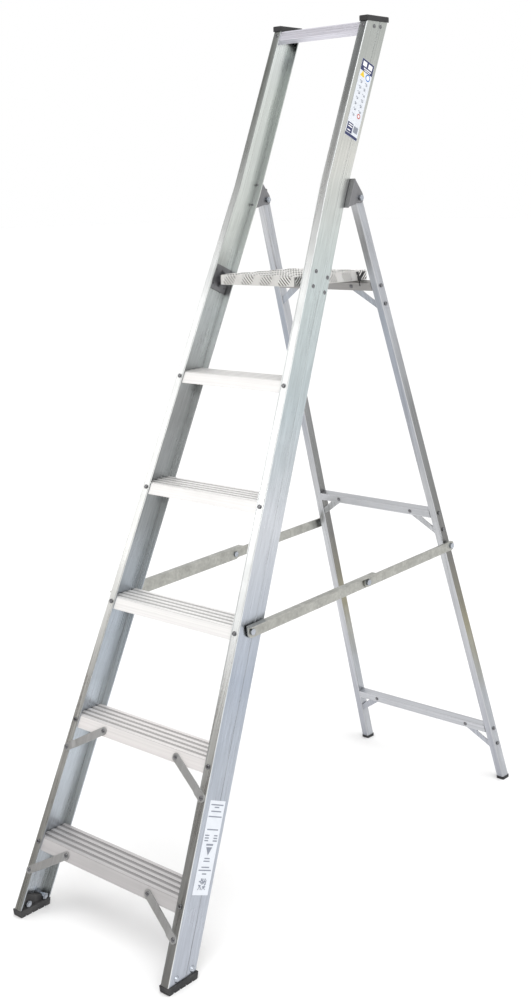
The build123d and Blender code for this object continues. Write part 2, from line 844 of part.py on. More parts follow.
# ---------------------------------------------------------------- cable tie
# Two arms hang from the deck's edge to a lock, and the loose end curls below it.
tie_y = deck_front_y + deck_length - tie_from_rear
tie_lock_z = deck_top - tie_drop
with BuildPart() as cable_tie:
    with BuildSketch(side_plane(deck_half_width)):
        for end_y in (tie_y - 6, tie_y + tie_arm_spread - 6):
            with BuildLine():
                Polyline(
                    (tie_y - tie_width / 2, tie_lock_z),
                    (tie_y + tie_width / 2, tie_lock_z),
                    (end_y + tie_width / 2, deck_top - deck_corner),
                    (end_y - tie_width / 2, deck_top - deck_corner),
                    close=True,
                )
            make_face()
    extrude(amount=tie_thickness)
    with BuildSketch(side_plane(deck_half_width)):
        with Locations((tie_y, tie_lock_z)):
            Rectangle(tie_width + 1.5, tie_width)
    extrude(amount=tie_thickness + 2.2)
    with BuildSketch(side_plane(deck_half_width + tie_thickness)):
        with BuildLine():
            Polyline(
                (tie_y - 1, tie_lock_z),
                (tie_y - 2.5, tie_lock_z - tie_tail * 0.6),
                (tie_y - 0.5, tie_lock_z - tie_tail),
                (tie_y + 0.8, tie_lock_z - tie_tail + 0.8),
                (tie_y - 1, tie_lock_z - tie_tail * 0.58),
                (tie_y + 0.6, tie_lock_z),
                close=True,
            )
        make_face()
    extrude(amount=tie_thickness)
save(cable_tie.part, "cable_tie")

# ---------------------------------------------------------------- hinge brackets
# A base plate behind the rear flange and two ears that straddle the leg.
ear_outer_x = ear_inner_x + ear_gap
base_low = hinge_along - hinge_base_below
base_high = base_low + hinge_base_length
base_depth = stile_depth + hinge_base_plate
hinge_point = (hinge_y, hinge_z)
ear_low = front_point(0, base_low, stile_depth)
ear_high = front_point(0, base_high, stile_depth)

with BuildPart() as right_hinge_bracket:
    with BuildSketch(front_plane(stile_depth)):
        with BuildLine():
            Polyline(
                (ear_inner_x - ear_thickness, base_low),
                (ear_outer_x + ear_thickness, base_low),
                (ear_outer_x + ear_thickness, base_high),
                (ear_inner_x - ear_thickness, base_high),
                close=True,
            )
        make_face()
    extrude(amount=-hinge_base_plate)
    for ear_x in (ear_inner_x - ear_thickness, ear_outer_x):
        with BuildSketch(side_plane(ear_x)):
            with BuildLine():
                Polyline(
                    yz(ear_low),
                    yz(ear_high),
                    (
                        hinge_y + ear_radius * lean_sin * 0.9 + ear_radius * lean_cos * 0.4,
                        hinge_z + ear_radius * lean_cos * 0.9,
                    ),
                    (
                        hinge_y + ear_radius * lean_cos * 0.8,
                        hinge_z - ear_radius * 0.6,
                    ),
                    close=True,
                )
            make_face()
            with Locations(hinge_point):
                Circle(ear_radius)
        extrude(amount=ear_thickness)
    with BuildSketch(side_plane(ear_inner_x - ear_thickness - 1)):
        with Locations(hinge_point):
            Circle(hinge_bolt_radius)
    extrude(amount=ear_gap + 2 * ear_thickness + 2, mode=Mode.SUBTRACT)
    with BuildSketch(front_plane(stile_depth - 1)):
        with Locations(*hinge_rivet_points):
            Circle(rivet_radius)
    extrude(amount=-(hinge_base_plate + 2), mode=Mode.SUBTRACT)
save(right_hinge_bracket.part, "right_hinge_bracket")

with BuildPart() as left_hinge_bracket:
    mirror(right_hinge_bracket.part, about=Plane.YZ)
save(left_hinge_bracket.part, "left_hinge_bracket")

with BuildPart() as hinge_bracket_rivets:
    with BuildSketch(front_plane(base_depth)):
        with Locations(*hinge_rivet_points):
            Circle(rivet_head_radius * 0.8)
    extrude(amount=-rivet_head)
    with BuildSketch(front_plane(base_depth)):
        with Locations(*hinge_rivet_points):
            Circle(rivet_radius)
    extrude(amount=hinge_base_plate + flange + 1.5)
    mirror(about=Plane.YZ)
save(hinge_bracket_rivets.part, "hinge_bracket_rivets")

with BuildPart() as hinge_bolts:
    with BuildSketch(side_plane(ear_inner_x - ear_thickness - nut_height - 1)):
        with Locations(hinge_point):
            Circle(hinge_bolt_radius)
    extrude(amount=ear_gap + 2 * ear_thickness + nut_height + 1)
    with BuildSketch(side_plane(ear_outer_x + ear_thickness)):
        with Locations(hinge_point):
            RegularPolygon(nut_across / 2, 6, major_radius=False)
    extrude(amount=5)
    with BuildSketch(side_plane(ear_inner_x - ear_thickness - nut_height)):
        with Locations(hinge_point):
            RegularPolygon(nut_across / 2, 6, major_radius=False)
    extrude(amount=nut_height)
    mirror(about=Plane.YZ)
save(hinge_bolts.part, "hinge_bolts")

# ---------------------------------------------------------------- rear legs
leg_size = hypot(1.0, leg_splay)
leg_axis = (
    -leg_splay / leg_size,
    -tilt_sin / leg_size,
    tilt_cos / leg_size,
)
leg_outward = (
    1 / leg_size,
    -leg_splay * tilt_sin / leg_size,
    leg_splay * tilt_cos / leg_size,
)
leg_section_plane = Plane(
    origin=rear_point(leg_outer(leg_top), leg_top),
    x_dir=leg_outward,
    z_dir=leg_axis,
)
bar_ups = [up_at_height(height, leg_depth / 2) for height in bar_heights]
bar_rivet_ups = [up + bar_height / 2 for up in bar_ups]
tab_rivet_ups = [up - corner_brace_drop for up in bar_rivet_ups]
stay_rear_up = up_at_height(stay_rear_height)
stay_rear_point = rear_point(0, stay_rear_up)

with BuildPart() as right_rear_leg:
    with BuildSketch(leg_section_plane) as leg_section:
        with Locations((-leg_width / 2, 0)):
            RectangleRounded(leg_width, leg_depth, leg_corner)
            RectangleRounded(
                leg_width - 2 * leg_wall,
                leg_depth - 2 * leg_wall,
                leg_corner / 2,
                mode=Mode.SUBTRACT,
            )
    extrude(amount=-(leg_length + leg_top + 30))
    with Locations((0, hinge_y, leg_foot_plug + 1000)):
        Box(1000, 3000, 2000, mode=Mode.INTERSECT)
    with BuildSketch(side_plane(leg_hinge_half - leg_width - 20)):
        with Locations(hinge_point):
            Circle(hinge_bolt_radius + running_gap)
    extrude(amount=leg_width + 40, mode=Mode.SUBTRACT)
    for up in bar_rivet_ups + tab_rivet_ups:
        with BuildSketch(leg_side_plane(up, out=1)):
            Circle(rivet_radius)
        extrude(amount=-(leg_width + 2), mode=Mode.SUBTRACT)
save(right_rear_leg.part, "right_rear_leg")

with BuildPart() as left_rear_leg:
    mirror(right_rear_leg.part, about=Plane.YZ)
save(left_rear_leg.part, "left_rear_leg")

# Black plugs close the legs at both ends.
leg_foot_x = leg_outer(up_at_height(leg_foot_plug)) - leg_width / 2
leg_cut_length = leg_depth / tilt_cos
with BuildPart() as right_rear_foot:
    foot_y_at = rear_point(0, up_at_height(leg_foot_plug))[1]
    with BuildSketch(Plane.XY):
        with Locations((leg_foot_x, foot_y_at + leg_foot_plug * tilt_sin / 2)):
            RectangleRounded(
                leg_width + 2 * leg_plug_overhang,
                leg_cut_length + 2 * leg_plug_overhang,
                3,
            )
    extrude(amount=leg_foot_plug)
    with BuildSketch(leg_section_plane.offset(-(leg_length + leg_top - 20))):
        with Locations((-leg_width / 2, 0)):
            RectangleRounded(
                leg_width - 2 * leg_wall - 0.4, leg_depth - 2 * leg_wall - 0.4, 0.9
            )
    extrude(until=Until.NEXT, dir=tuple(-value for value in leg_axis))
save(right_rear_foot.part, "right_rear_foot")

with BuildPart() as left_rear_foot:
    mirror(right_rear_foot.part, about=Plane.YZ)
save(left_rear_foot.part, "left_rear_foot")

with BuildPart() as leg_top_plugs:
    with BuildSketch(leg_section_plane):
        with Locations((-leg_width / 2, 0)):
            RectangleRounded(leg_width, leg_depth, leg_corner)
    extrude(amount=leg_top_plug)
    fillet(leg_top_plugs.faces().sort_by(Axis.Z)[-1].edges(), radius=1)
    with BuildSketch(leg_section_plane):
        with Locations((-leg_width / 2, 0)):
            RectangleRounded(
                leg_width - 2 * leg_wall - 0.4, leg_depth - 2 * leg_wall - 0.4, 0.9
            )
    extrude(amount=-(leg_top - hinge_bolt_radius - 6))
    mirror(about=Plane.YZ)
save(leg_top_plugs.part, "leg_top_plugs")

# ---------------------------------------------------------------- crossbars
# Angle sections: a face flush with the front of the legs and a flange back from its top.
for name, up in zip(bar_names, bar_ups):
    bar_half = leg_outer(up + bar_height) - leg_width * leg_size - bar_end_gap
    with BuildPart() as crossbar:
        with BuildSketch(rear_plane(leg_depth / 2)):
            with BuildLine():
                Polyline(
                    (-bar_half - bar_height * leg_splay, up),
                    (bar_half + bar_height * leg_splay, up),
                    (bar_half, up + bar_height),
                    (-bar_half, up + bar_height),
                    close=True,
                )
            make_face()
        extrude(amount=-bar_depth)
        with BuildSketch(rear_plane(leg_depth / 2 - bar_wall)):
            with Locations((0, up + (bar_height - bar_wall) / 2 - 1)):
                Rectangle(3 * bar_half, bar_height - bar_wall + 2)
        extrude(amount=-bar_depth, mode=Mode.SUBTRACT)
        brace_x = bar_half - corner_brace_run
        with BuildSketch(rear_plane(leg_depth / 2 + 1)):
            with Locations((brace_x, up + bar_height / 2), (-brace_x, up + bar_height / 2)):
                Circle(rivet_radius)
        extrude(amount=-(bar_wall + 2), mode=Mode.SUBTRACT)
    save(crossbar.part, name + "_crossbar")

# Corner braces: a strip behind the crossbar's face, down to a tab on the leg's inner face.
brace_front = leg_depth / 2 - bar_wall
for name, up in zip(bar_names, bar_ups):
    bar_half = leg_outer(up + bar_height) - leg_width * leg_size - bar_end_gap
    brace_x = bar_half - corner_brace_run
    brace_up = up + bar_height / 2
    tab_up = brace_up - corner_brace_drop
    tab_x = leg_outer(tab_up) - leg_width * leg_size
    strip_run = tab_x - brace_x
    strip_length = hypot(strip_run, corner_brace_drop)
    across = (corner_brace_drop / strip_length, strip_run / strip_length)
    half_width = corner_brace_width / 2
    run_end = (tab_x, tab_up)
    with BuildPart() as corner_brace:
        with BuildSketch(rear_plane(brace_front)):
            with BuildLine():
                Polyline(
                    (brace_x - across[0] * half_width, brace_up - across[1] * half_width),
                    (
                        tab_x + leg_splay * half_width,
                        tab_up - half_width,
                    ),
                    (
                        tab_x - leg_splay * half_width,
                        tab_up + half_width,
                    ),
                    (brace_x + across[0] * half_width, brace_up + across[1] * half_width),
                    close=True,
                )
            make_face()
            with Locations((brace_x, brace_up)):
                Circle(half_width)
        extrude(amount=-corner_brace_thickness)
        with BuildSketch(rear_plane(brace_front)):
            with BuildLine():
                Polyline(
                    (tab_x + leg_splay * half_width, tab_up - half_width),
                    (tab_x - leg_splay * half_width, tab_up + half_width),
                    (
                        tab_x - leg_splay * half_width - corner_brace_thickness,
                        tab_up + half_width,
                    ),
                    (
                        tab_x + leg_splay * half_width - corner_brace_thickness,
                        tab_up - half_width,
                    ),
                    close=True,
                )
            make_face()
        extrude(amount=-corner_brace_tab)
        # Trim whatever would reach through the crossbar's top flange.
        with BuildSketch(rear_plane(leg_depth / 2)):
            with Locations((0, up + bar_height - bar_wall + 10)):
                Rectangle(3 * bar_half, 20)
        extrude(amount=-leg_depth, mode=Mode.SUBTRACT)
        with BuildSketch(rear_plane(leg_depth / 2)):
            with Locations((brace_x, brace_up)):
                Circle(rivet_radius)
        extrude(amount=-leg_depth, mode=Mode.SUBTRACT)
        with BuildSketch(leg_side_plane(tab_up, out=1 - leg_width)):
            Circle(rivet_radius)
        extrude(amount=-6, mode=Mode.SUBTRACT)
    save(corner_brace.part, "right_" + name + "_corner_brace")
    with BuildPart() as left_corner_brace:
        mirror(corner_brace.part, about=Plane.YZ)
    save(left_corner_brace.part, "left_" + name + "_corner_brace")

with BuildPart() as corner_brace_rivets:
    for up in bar_ups:
        bar_half = leg_outer(up + bar_height) - leg_width * leg_size - bar_end_gap
        place = (bar_half - corner_brace_run, up + bar_height / 2)
        with BuildSketch(rear_plane(leg_depth / 2)):
            with Locations(place):
                Circle(rivet_head_radius * 0.8)
        extrude(amount=rivet_head)
        with BuildSketch(rear_plane(leg_depth / 2)):
            with Locations(place):
                Circle(rivet_radius)
        extrude(amount=-(bar_wall + corner_brace_thickness + 1.5))
    mirror(about=Plane.YZ)
save(corner_brace_rivets.part, "corner_brace_rivets")

# Long rivets cross the legs and leave a tail on the outer face.
with BuildPart() as leg_rivets:
    for up in bar_rivet_ups + tab_rivet_ups:
        reach = leg_width + (corner_brace_thickness + 1.5 if up in tab_rivet_ups else 0.0)
        with BuildSketch(leg_side_plane(up)):
            Circle(rivet_radius)
        extrude(amount=-reach)
        with BuildSketch(leg_side_plane(up)):
            Circle(rivet_head_radius * 0.75)
        extrude(amount=rivet_tail)
    mirror(about=Plane.YZ)
save(leg_rivets.part, "leg_rivets")

# ---------------------------------------------------------------- stays
# The open stay is straight from its pivot on the stile to its pivot on the rear leg.
stay_start = front_point(0, stay_front_along, stay_front_depth)
stay_span_y = stay_rear_point[1] - stay_start[1]
stay_span_z = stay_rear_point[2] - stay_start[2]
stay_length = hypot(stay_span_y, stay_span_z)
stay_cos = stay_span_y / stay_length
stay_sin = stay_span_z / stay_length
front_link_length = stay_length * stay_front_share
rear_link_length = stay_length - front_link_length


def stay_plane_at(x):
    """Side plane whose local x runs along the open stay from its front pivot."""
    return Plane(
        origin=(x, stay_start[1], stay_start[2]),
        x_dir=(0, stay_cos, stay_sin),
        z_dir=(1, 0, 0),
    )


rear_link_x = stay_plane + stay_link_thickness + stay_layer_gap
stay_outer_x = rear_link_x + stay_rear_thickness
flange_under = stay_rear_width / 2 + stay_flange_gap
link_tail = stay_front_width / 2
stay_web_x = stile_outer(stay_front_along)

with BuildPart() as right_stay_front_link:
    with BuildSketch(stay_plane_at(stay_plane)):
        with Locations((front_link_length / 2, 0)):
            SlotCenterToCenter(front_link_length, stay_front_width)
        flange_end = front_link_length + stay_stop_length
        with BuildLine():
            Polyline(
                (-link_tail, 0),
                (front_link_length, 0),
                (flange_end, flange_under - 3),
                (flange_end, flange_under + stay_link_thickness),
                (-link_tail, flange_under + stay_link_thickness),
                close=True,
            )
        make_face()
    extrude(amount=stay_link_thickness)
    with BuildSketch(stay_plane_at(stay_plane)):
        flange_mid = (flange_end - link_tail) / 2
        with Locations((flange_mid, flange_under + stay_link_thickness / 2)):
            Rectangle(flange_end + link_tail, stay_link_thickness)
    extrude(amount=stay_link_thickness + stay_flange_width)
    with BuildSketch(stay_plane_at(stay_plane - 1)):
        Circle(bolt_radius + running_gap)
        with Locations((front_link_length, 0)):
            Circle(bolt_radius)
    extrude(amount=stay_link_thickness + 2, mode=Mode.SUBTRACT)
save(right_stay_front_link.part, "right_stay_front_link")

with BuildPart() as right_stay_rear_link:
    with BuildSketch(stay_plane_at(rear_link_x)):
        with Locations((front_link_length + rear_link_length / 2, 0)):
            SlotCenterToCenter(rear_link_length, stay_rear_width)
        with Locations((front_link_length, 0)):
            Circle(bolt_radius + running_gap, mode=Mode.SUBTRACT)
        with Locations((stay_length, 0)):
            Circle(bolt_radius, mode=Mode.SUBTRACT)
    extrude(amount=stay_rear_thickness)
save(right_stay_rear_link.part, "right_stay_rear_link")

with BuildPart() as right_knee_bolt:
    with BuildSketch(stay_plane_at(stay_plane - nut_height / 2)):
        with Locations((front_link_length, 0)):
            RegularPolygon(nut_across / 2, 6, major_radius=False)
    extrude(amount=nut_height / 2)
    with BuildSketch(stay_plane_at(stay_plane)):
        with Locations((front_link_length, 0)):
            Circle(bolt_radius)
    extrude(amount=stay_outer_x + stay_layer_gap - stay_plane)
    with BuildSketch(stay_plane_at(stay_outer_x + stay_layer_gap)):
        with Locations((front_link_length, 0)):
            RegularPolygon(nut_across / 2, 6, major_radius=False)
    extrude(amount=nut_height * 0.7)
save(right_knee_bolt.part, "right_knee_bolt")

rivet_start_x = leg_outer(stay_rear_up) + stay_open_gap
with BuildPart() as right_stay_rivet:
    with BuildSketch(stay_plane_at(rivet_start_x)):
        with Locations((stay_length, 0)):
            Circle(bolt_head_radius)
    extrude(amount=rear_link_x - rivet_start_x)
    with BuildSketch(stay_plane_at(rear_link_x)):
        with Locations((stay_length, 0)):
            Circle(bolt_radius)
    extrude(amount=stay_rear_thickness)
    with BuildSketch(stay_plane_at(stay_outer_x)):
        with Locations((stay_length, 0)):
            Circle(bolt_head_radius)
    extrude(amount=bolt_head_height)
save(right_stay_rivet.part, "right_stay_rivet")

for piece, name in (
    (right_stay_front_link, "left_stay_front_link"),
    (right_stay_rear_link, "left_stay_rear_link"),
    (right_knee_bolt, "left_knee_bolt"),
    (right_stay_rivet, "left_stay_rivet"),
):
    with BuildPart() as left_piece:
        mirror(piece.part, about=Plane.YZ)
    save(left_piece.part, name)

with BuildPart() as stay_bolts:
    with BuildSketch(side_plane(stay_web_x - web - 5)):
        with Locations(yz(stay_start)):
            Circle(bolt_radius)
    extrude(amount=stay_plane + stay_link_thickness + 0.5 - (stay_web_x - web - 5))
    with BuildSketch(side_plane(stay_web_x + 0.6)):
        with Locations(yz(stay_start)):
            Circle(bolt_head_radius)
    extrude(amount=stay_plane - stay_layer_gap - stay_web_x - 0.6)
    with BuildSketch(side_plane(stay_plane + stay_link_thickness + stay_layer_gap)):
        with Locations(yz(stay_start)):
            Circle(bolt_head_radius)
    extrude(amount=bolt_head_height)
    with BuildSketch(side_plane(stay_web_x - web - 0.5 - bolt_head_height)):
        with Locations(yz(stay_start)):
            Circle(bolt_head_radius)
    extrude(amount=bolt_head_height)
    mirror(about=Plane.YZ)
save(stay_bolts.part, "stay_bolts")

# ---------------------------------------------------------------- labels
# Thin stickers on the outer web of the right stile, one above the neck and one near the foot.
for name, span in (("guidance_label", upper_label_span), ("rating_label", lower_label_span)):
    with BuildPart() as label:
        with BuildSketch(front_plane(label_depths[0])):
            with BuildLine():
                Polyline(
                    (stile_outer(span[0]), span[0]),
                    (stile_outer(span[1]), span[1]),
                    (stile_outer(span[1]) + label_thickness, span[1]),
                    (stile_outer(span[0]) + label_thickness, span[0]),
                    close=True,
                )
            make_face()
        extrude(amount=-(label_depths[1] - label_depths[0]))
    save(label.part, name)
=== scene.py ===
"""Dresses the platform step ladder: finishes, printed labels, tread plate and studio."""

from __future__ import annotations

import logging
import math
import random
from dataclasses import dataclass, field
from enum import Enum
from typing import Any, Iterable, Sequence

import bmesh
import bpy
from mathutils import Matrix, Vector

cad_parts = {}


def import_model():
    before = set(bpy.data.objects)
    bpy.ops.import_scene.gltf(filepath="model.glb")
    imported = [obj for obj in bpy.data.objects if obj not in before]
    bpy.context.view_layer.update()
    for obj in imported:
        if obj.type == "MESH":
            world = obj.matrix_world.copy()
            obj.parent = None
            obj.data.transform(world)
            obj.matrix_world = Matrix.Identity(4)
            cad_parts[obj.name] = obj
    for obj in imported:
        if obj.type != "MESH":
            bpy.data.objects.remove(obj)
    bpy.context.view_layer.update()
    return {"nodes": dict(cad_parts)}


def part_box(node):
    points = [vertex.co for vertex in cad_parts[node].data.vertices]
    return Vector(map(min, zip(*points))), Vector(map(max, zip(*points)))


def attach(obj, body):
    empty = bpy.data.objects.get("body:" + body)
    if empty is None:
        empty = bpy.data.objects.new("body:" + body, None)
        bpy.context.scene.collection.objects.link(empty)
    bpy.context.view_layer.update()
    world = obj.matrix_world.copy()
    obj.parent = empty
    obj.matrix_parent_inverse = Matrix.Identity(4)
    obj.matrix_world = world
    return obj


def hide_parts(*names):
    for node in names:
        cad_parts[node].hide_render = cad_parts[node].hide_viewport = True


log = logging.getLogger("step_ladder")

STILE_LEAN = math.radians(23.0)
LEG_LEAN = math.radians(-17.6)
REAR_RIVETS = ("leg_rivets", "corner_brace_rivets")
TALLEST = 1.9
SIDEWAYS = 0.7
# Sideways part of the normal on rounded corners, which get the painted highlight.
CORNER_HIGHLIGHT_MIDDLE = 0.60
CORNER_HIGHLIGHT_SPREAD = 0.36
WELD = 0.00001

# Painted light and shade: height in metres, then red, green and blue.
Tone = tuple[float, float, float, float]


class Grain(Enum):
    """Direction that an extrusion or a rolled sheet was drawn in."""

    STILE = "up the leaning stiles"
    LEG = "down the rear legs"
    ACROSS = "across the ladder"
    LEVEL = "front to back"


class Ink(Enum):
    """Colours printed on the labels."""

    NAVY = (0.020, 0.028, 0.105)
    YELLOW = (0.78, 0.55, 0.02)
    BLUE = (0.03, 0.17, 0.50)
    RED = (0.50, 0.10, 0.08)
    GREY = (0.23, 0.25, 0.30)
    WHITE = (0.90, 0.91, 0.93)


class Outline(Enum):
    """Shapes of a printed mark."""

    BLOCK = "block"
    DISC = "disc"
    TRIANGLE = "triangle"
    LOAD = "triangle standing on its point"


# ------------------------------------------------------------------ finishes
class NodeBench:
    """A material's node tree, with short calls that add and join its nodes."""

    def __init__(self, name: str) -> None:
        """Start a material with one Principled shader.

        Args:
            name: the material's name.
        """
        self.material = bpy.data.materials.new(name)
        self.material.use_nodes = True
        self.tree = self.material.node_tree
        self.shader = self.tree.nodes["Principled BSDF"]

    def add(self, kind: str, **inputs: Any) -> bpy.types.Node:
        """Add a node and set its inputs.

        Args:
            kind: node type without its ShaderNode prefix.
            inputs: values or output sockets, by input name with _ for spaces.

        Returns:
            The new node.
        """
        node = self.tree.nodes.new("ShaderNode" + kind)
        for key, value in inputs.items():
            self.feed(node, key.replace("_", " "), value)
        return node

    def feed(self, node: bpy.types.Node, socket: str | int, value: Any) -> None:
        """Set one input to a constant, or link it to an output."""
        if isinstance(value, bpy.types.NodeSocket):
            self.tree.links.new(value, node.inputs[socket])
        else:
            node.inputs[socket].default_value = value

    def grain(self, direction: Grain, fine: float, length: float) -> bpy.types.NodeSocket:
        """Object coordinates squeezed across a grain direction.

        Args:
            direction: way that the grain runs.
            fine: frequency across the grain, per metre.
            length: frequency along the grain, per metre.

        Returns:
            The vector output, its Z along the grain.
        """
        where = self.add("TexCoord").outputs["Object"]
        turn = {
            Grain.STILE: (STILE_LEAN, 0.0, 0.0),
            Grain.LEG: (LEG_LEAN, 0.0, 0.0),
            Grain.ACROSS: (0.0, math.radians(90), 0.0),
            Grain.LEVEL: (math.radians(90), 0.0, 0.0),
        }[direction]
        turned = self.add("Mapping", Vector=where, Rotation=turn)
        scaled = self.add("Mapping", Vector=turned.outputs[0], Scale=(fine, fine, length))
        return scaled.outputs[0]

    def noise(
        self, vector: bpy.types.NodeSocket, scale: float, detail: float, rough: float
    ) -> bpy.types.NodeSocket:
        """A noise value between 0 and 1.

        Args:
            vector: where to read it.
            scale: its frequency.
            detail: its octaves.
            rough: weight of the fine octaves.

        Returns:
            The noise's value output.
        """
        node = self.add("TexNoise", Vector=vector, Scale=scale, Detail=detail)
        node.inputs["Roughness"].default_value = rough
        return node.outputs[0]

    def spread(
        self, value: bpy.types.NodeSocket, low: float, high: float, out: Sequence[float]
    ) -> bpy.types.NodeSocket:
        """Clamp a value onto a new range.

        Args:
            value: the value.
            low: where the old range starts.
            high: where it ends.
            out: start and end of the new range.

        Returns:
            The new value's output.
        """
        node = self.add("MapRange", Value=value, From_Min=low, From_Max=high)
        self.feed(node, "To Min", out[0])
        self.feed(node, "To Max", out[1])
        return node.outputs[0]

    def blend(
        self, factor: bpy.types.NodeSocket, first: Any, second: Any, mode: str = "MIX"
    ) -> bpy.types.NodeSocket:
        """Mix two colours.

        Args:
            factor: how much of the second.
            first: colour or output socket.
            second: colour or output socket.
            mode: blend mode.

        Returns:
            The mixed colour's output.
        """
        node = self.tree.nodes.new("ShaderNodeMix")
        node.data_type = "RGBA"
        node.blend_type = mode
        self.feed(node, 0, factor)
        self.feed(node, 6, first)
        self.feed(node, 7, second)
        return node.outputs[2]

    def math(self, operation: str, first: Any, second: Any) -> bpy.types.NodeSocket:
        """One arithmetic step on two values."""
        node = self.tree.nodes.new("ShaderNodeMath")
        node.operation = operation
        self.feed(node, 0, first)
        self.feed(node, 1, second)
        return node.outputs[0]

    def ramp(self, share: bpy.types.NodeSocket, tones: Sequence[Tone]) -> bpy.types.NodeSocket:
        """A colour that changes with height.

        Args:
            share: height as a share of TALLEST.
            tones: the colours, each at its height.

        Returns:
            The colour output.
        """
        node = self.add("ValToRGB", Fac=share)
        stops = node.color_ramp.elements
        while len(stops) < len(tones):
            stops.new(1.0)
        for stop, (height, *colour) in zip(stops, sorted(tones)):
            stop.position = height / TALLEST
            stop.color = (*colour, 1.0)
        return node.outputs["Color"]

    def painted_corner_shade(self, reach: float) -> bpy.types.NodeSocket:
        """How open a point is, by ambient occlusion: 1 on open metal, towards 0 in a corner;
        used to paint shade into corners.
        """
        node = self.tree.nodes.new("ShaderNodeAmbientOcclusion")
        node.samples = 6
        node.inputs["Distance"].default_value = reach
        return node.outputs["AO"]

    def relief(
        self, height: bpy.types.NodeSocket, depth: float, edge: float
    ) -> None:
        """Bump the surface, over edges softened by a small radius.

        Args:
            height: the relief's value.
            depth: its depth in metres.
            edge: radius that rounds the edges, in metres.
        """
        bump = self.add("Bump", Height=height, Distance=depth)
        if edge:
            soft = self.tree.nodes.new("ShaderNodeBevel")
            soft.samples = 4
            soft.inputs["Radius"].default_value = edge
            self.feed(bump, "Normal", soft.outputs[0])
        bump.inputs["Strength"].default_value = 1.0
        self.feed(self.shader, "Normal", bump.outputs[0])


def rgba(colour: Sequence[float], gain: float = 1.0) -> tuple[float, float, float, float]:
    """A colour with alpha, brightened by gain."""
    red, green, blue = (min(1.0, part * gain) for part in colour)
    return (red, green, blue, 1.0)


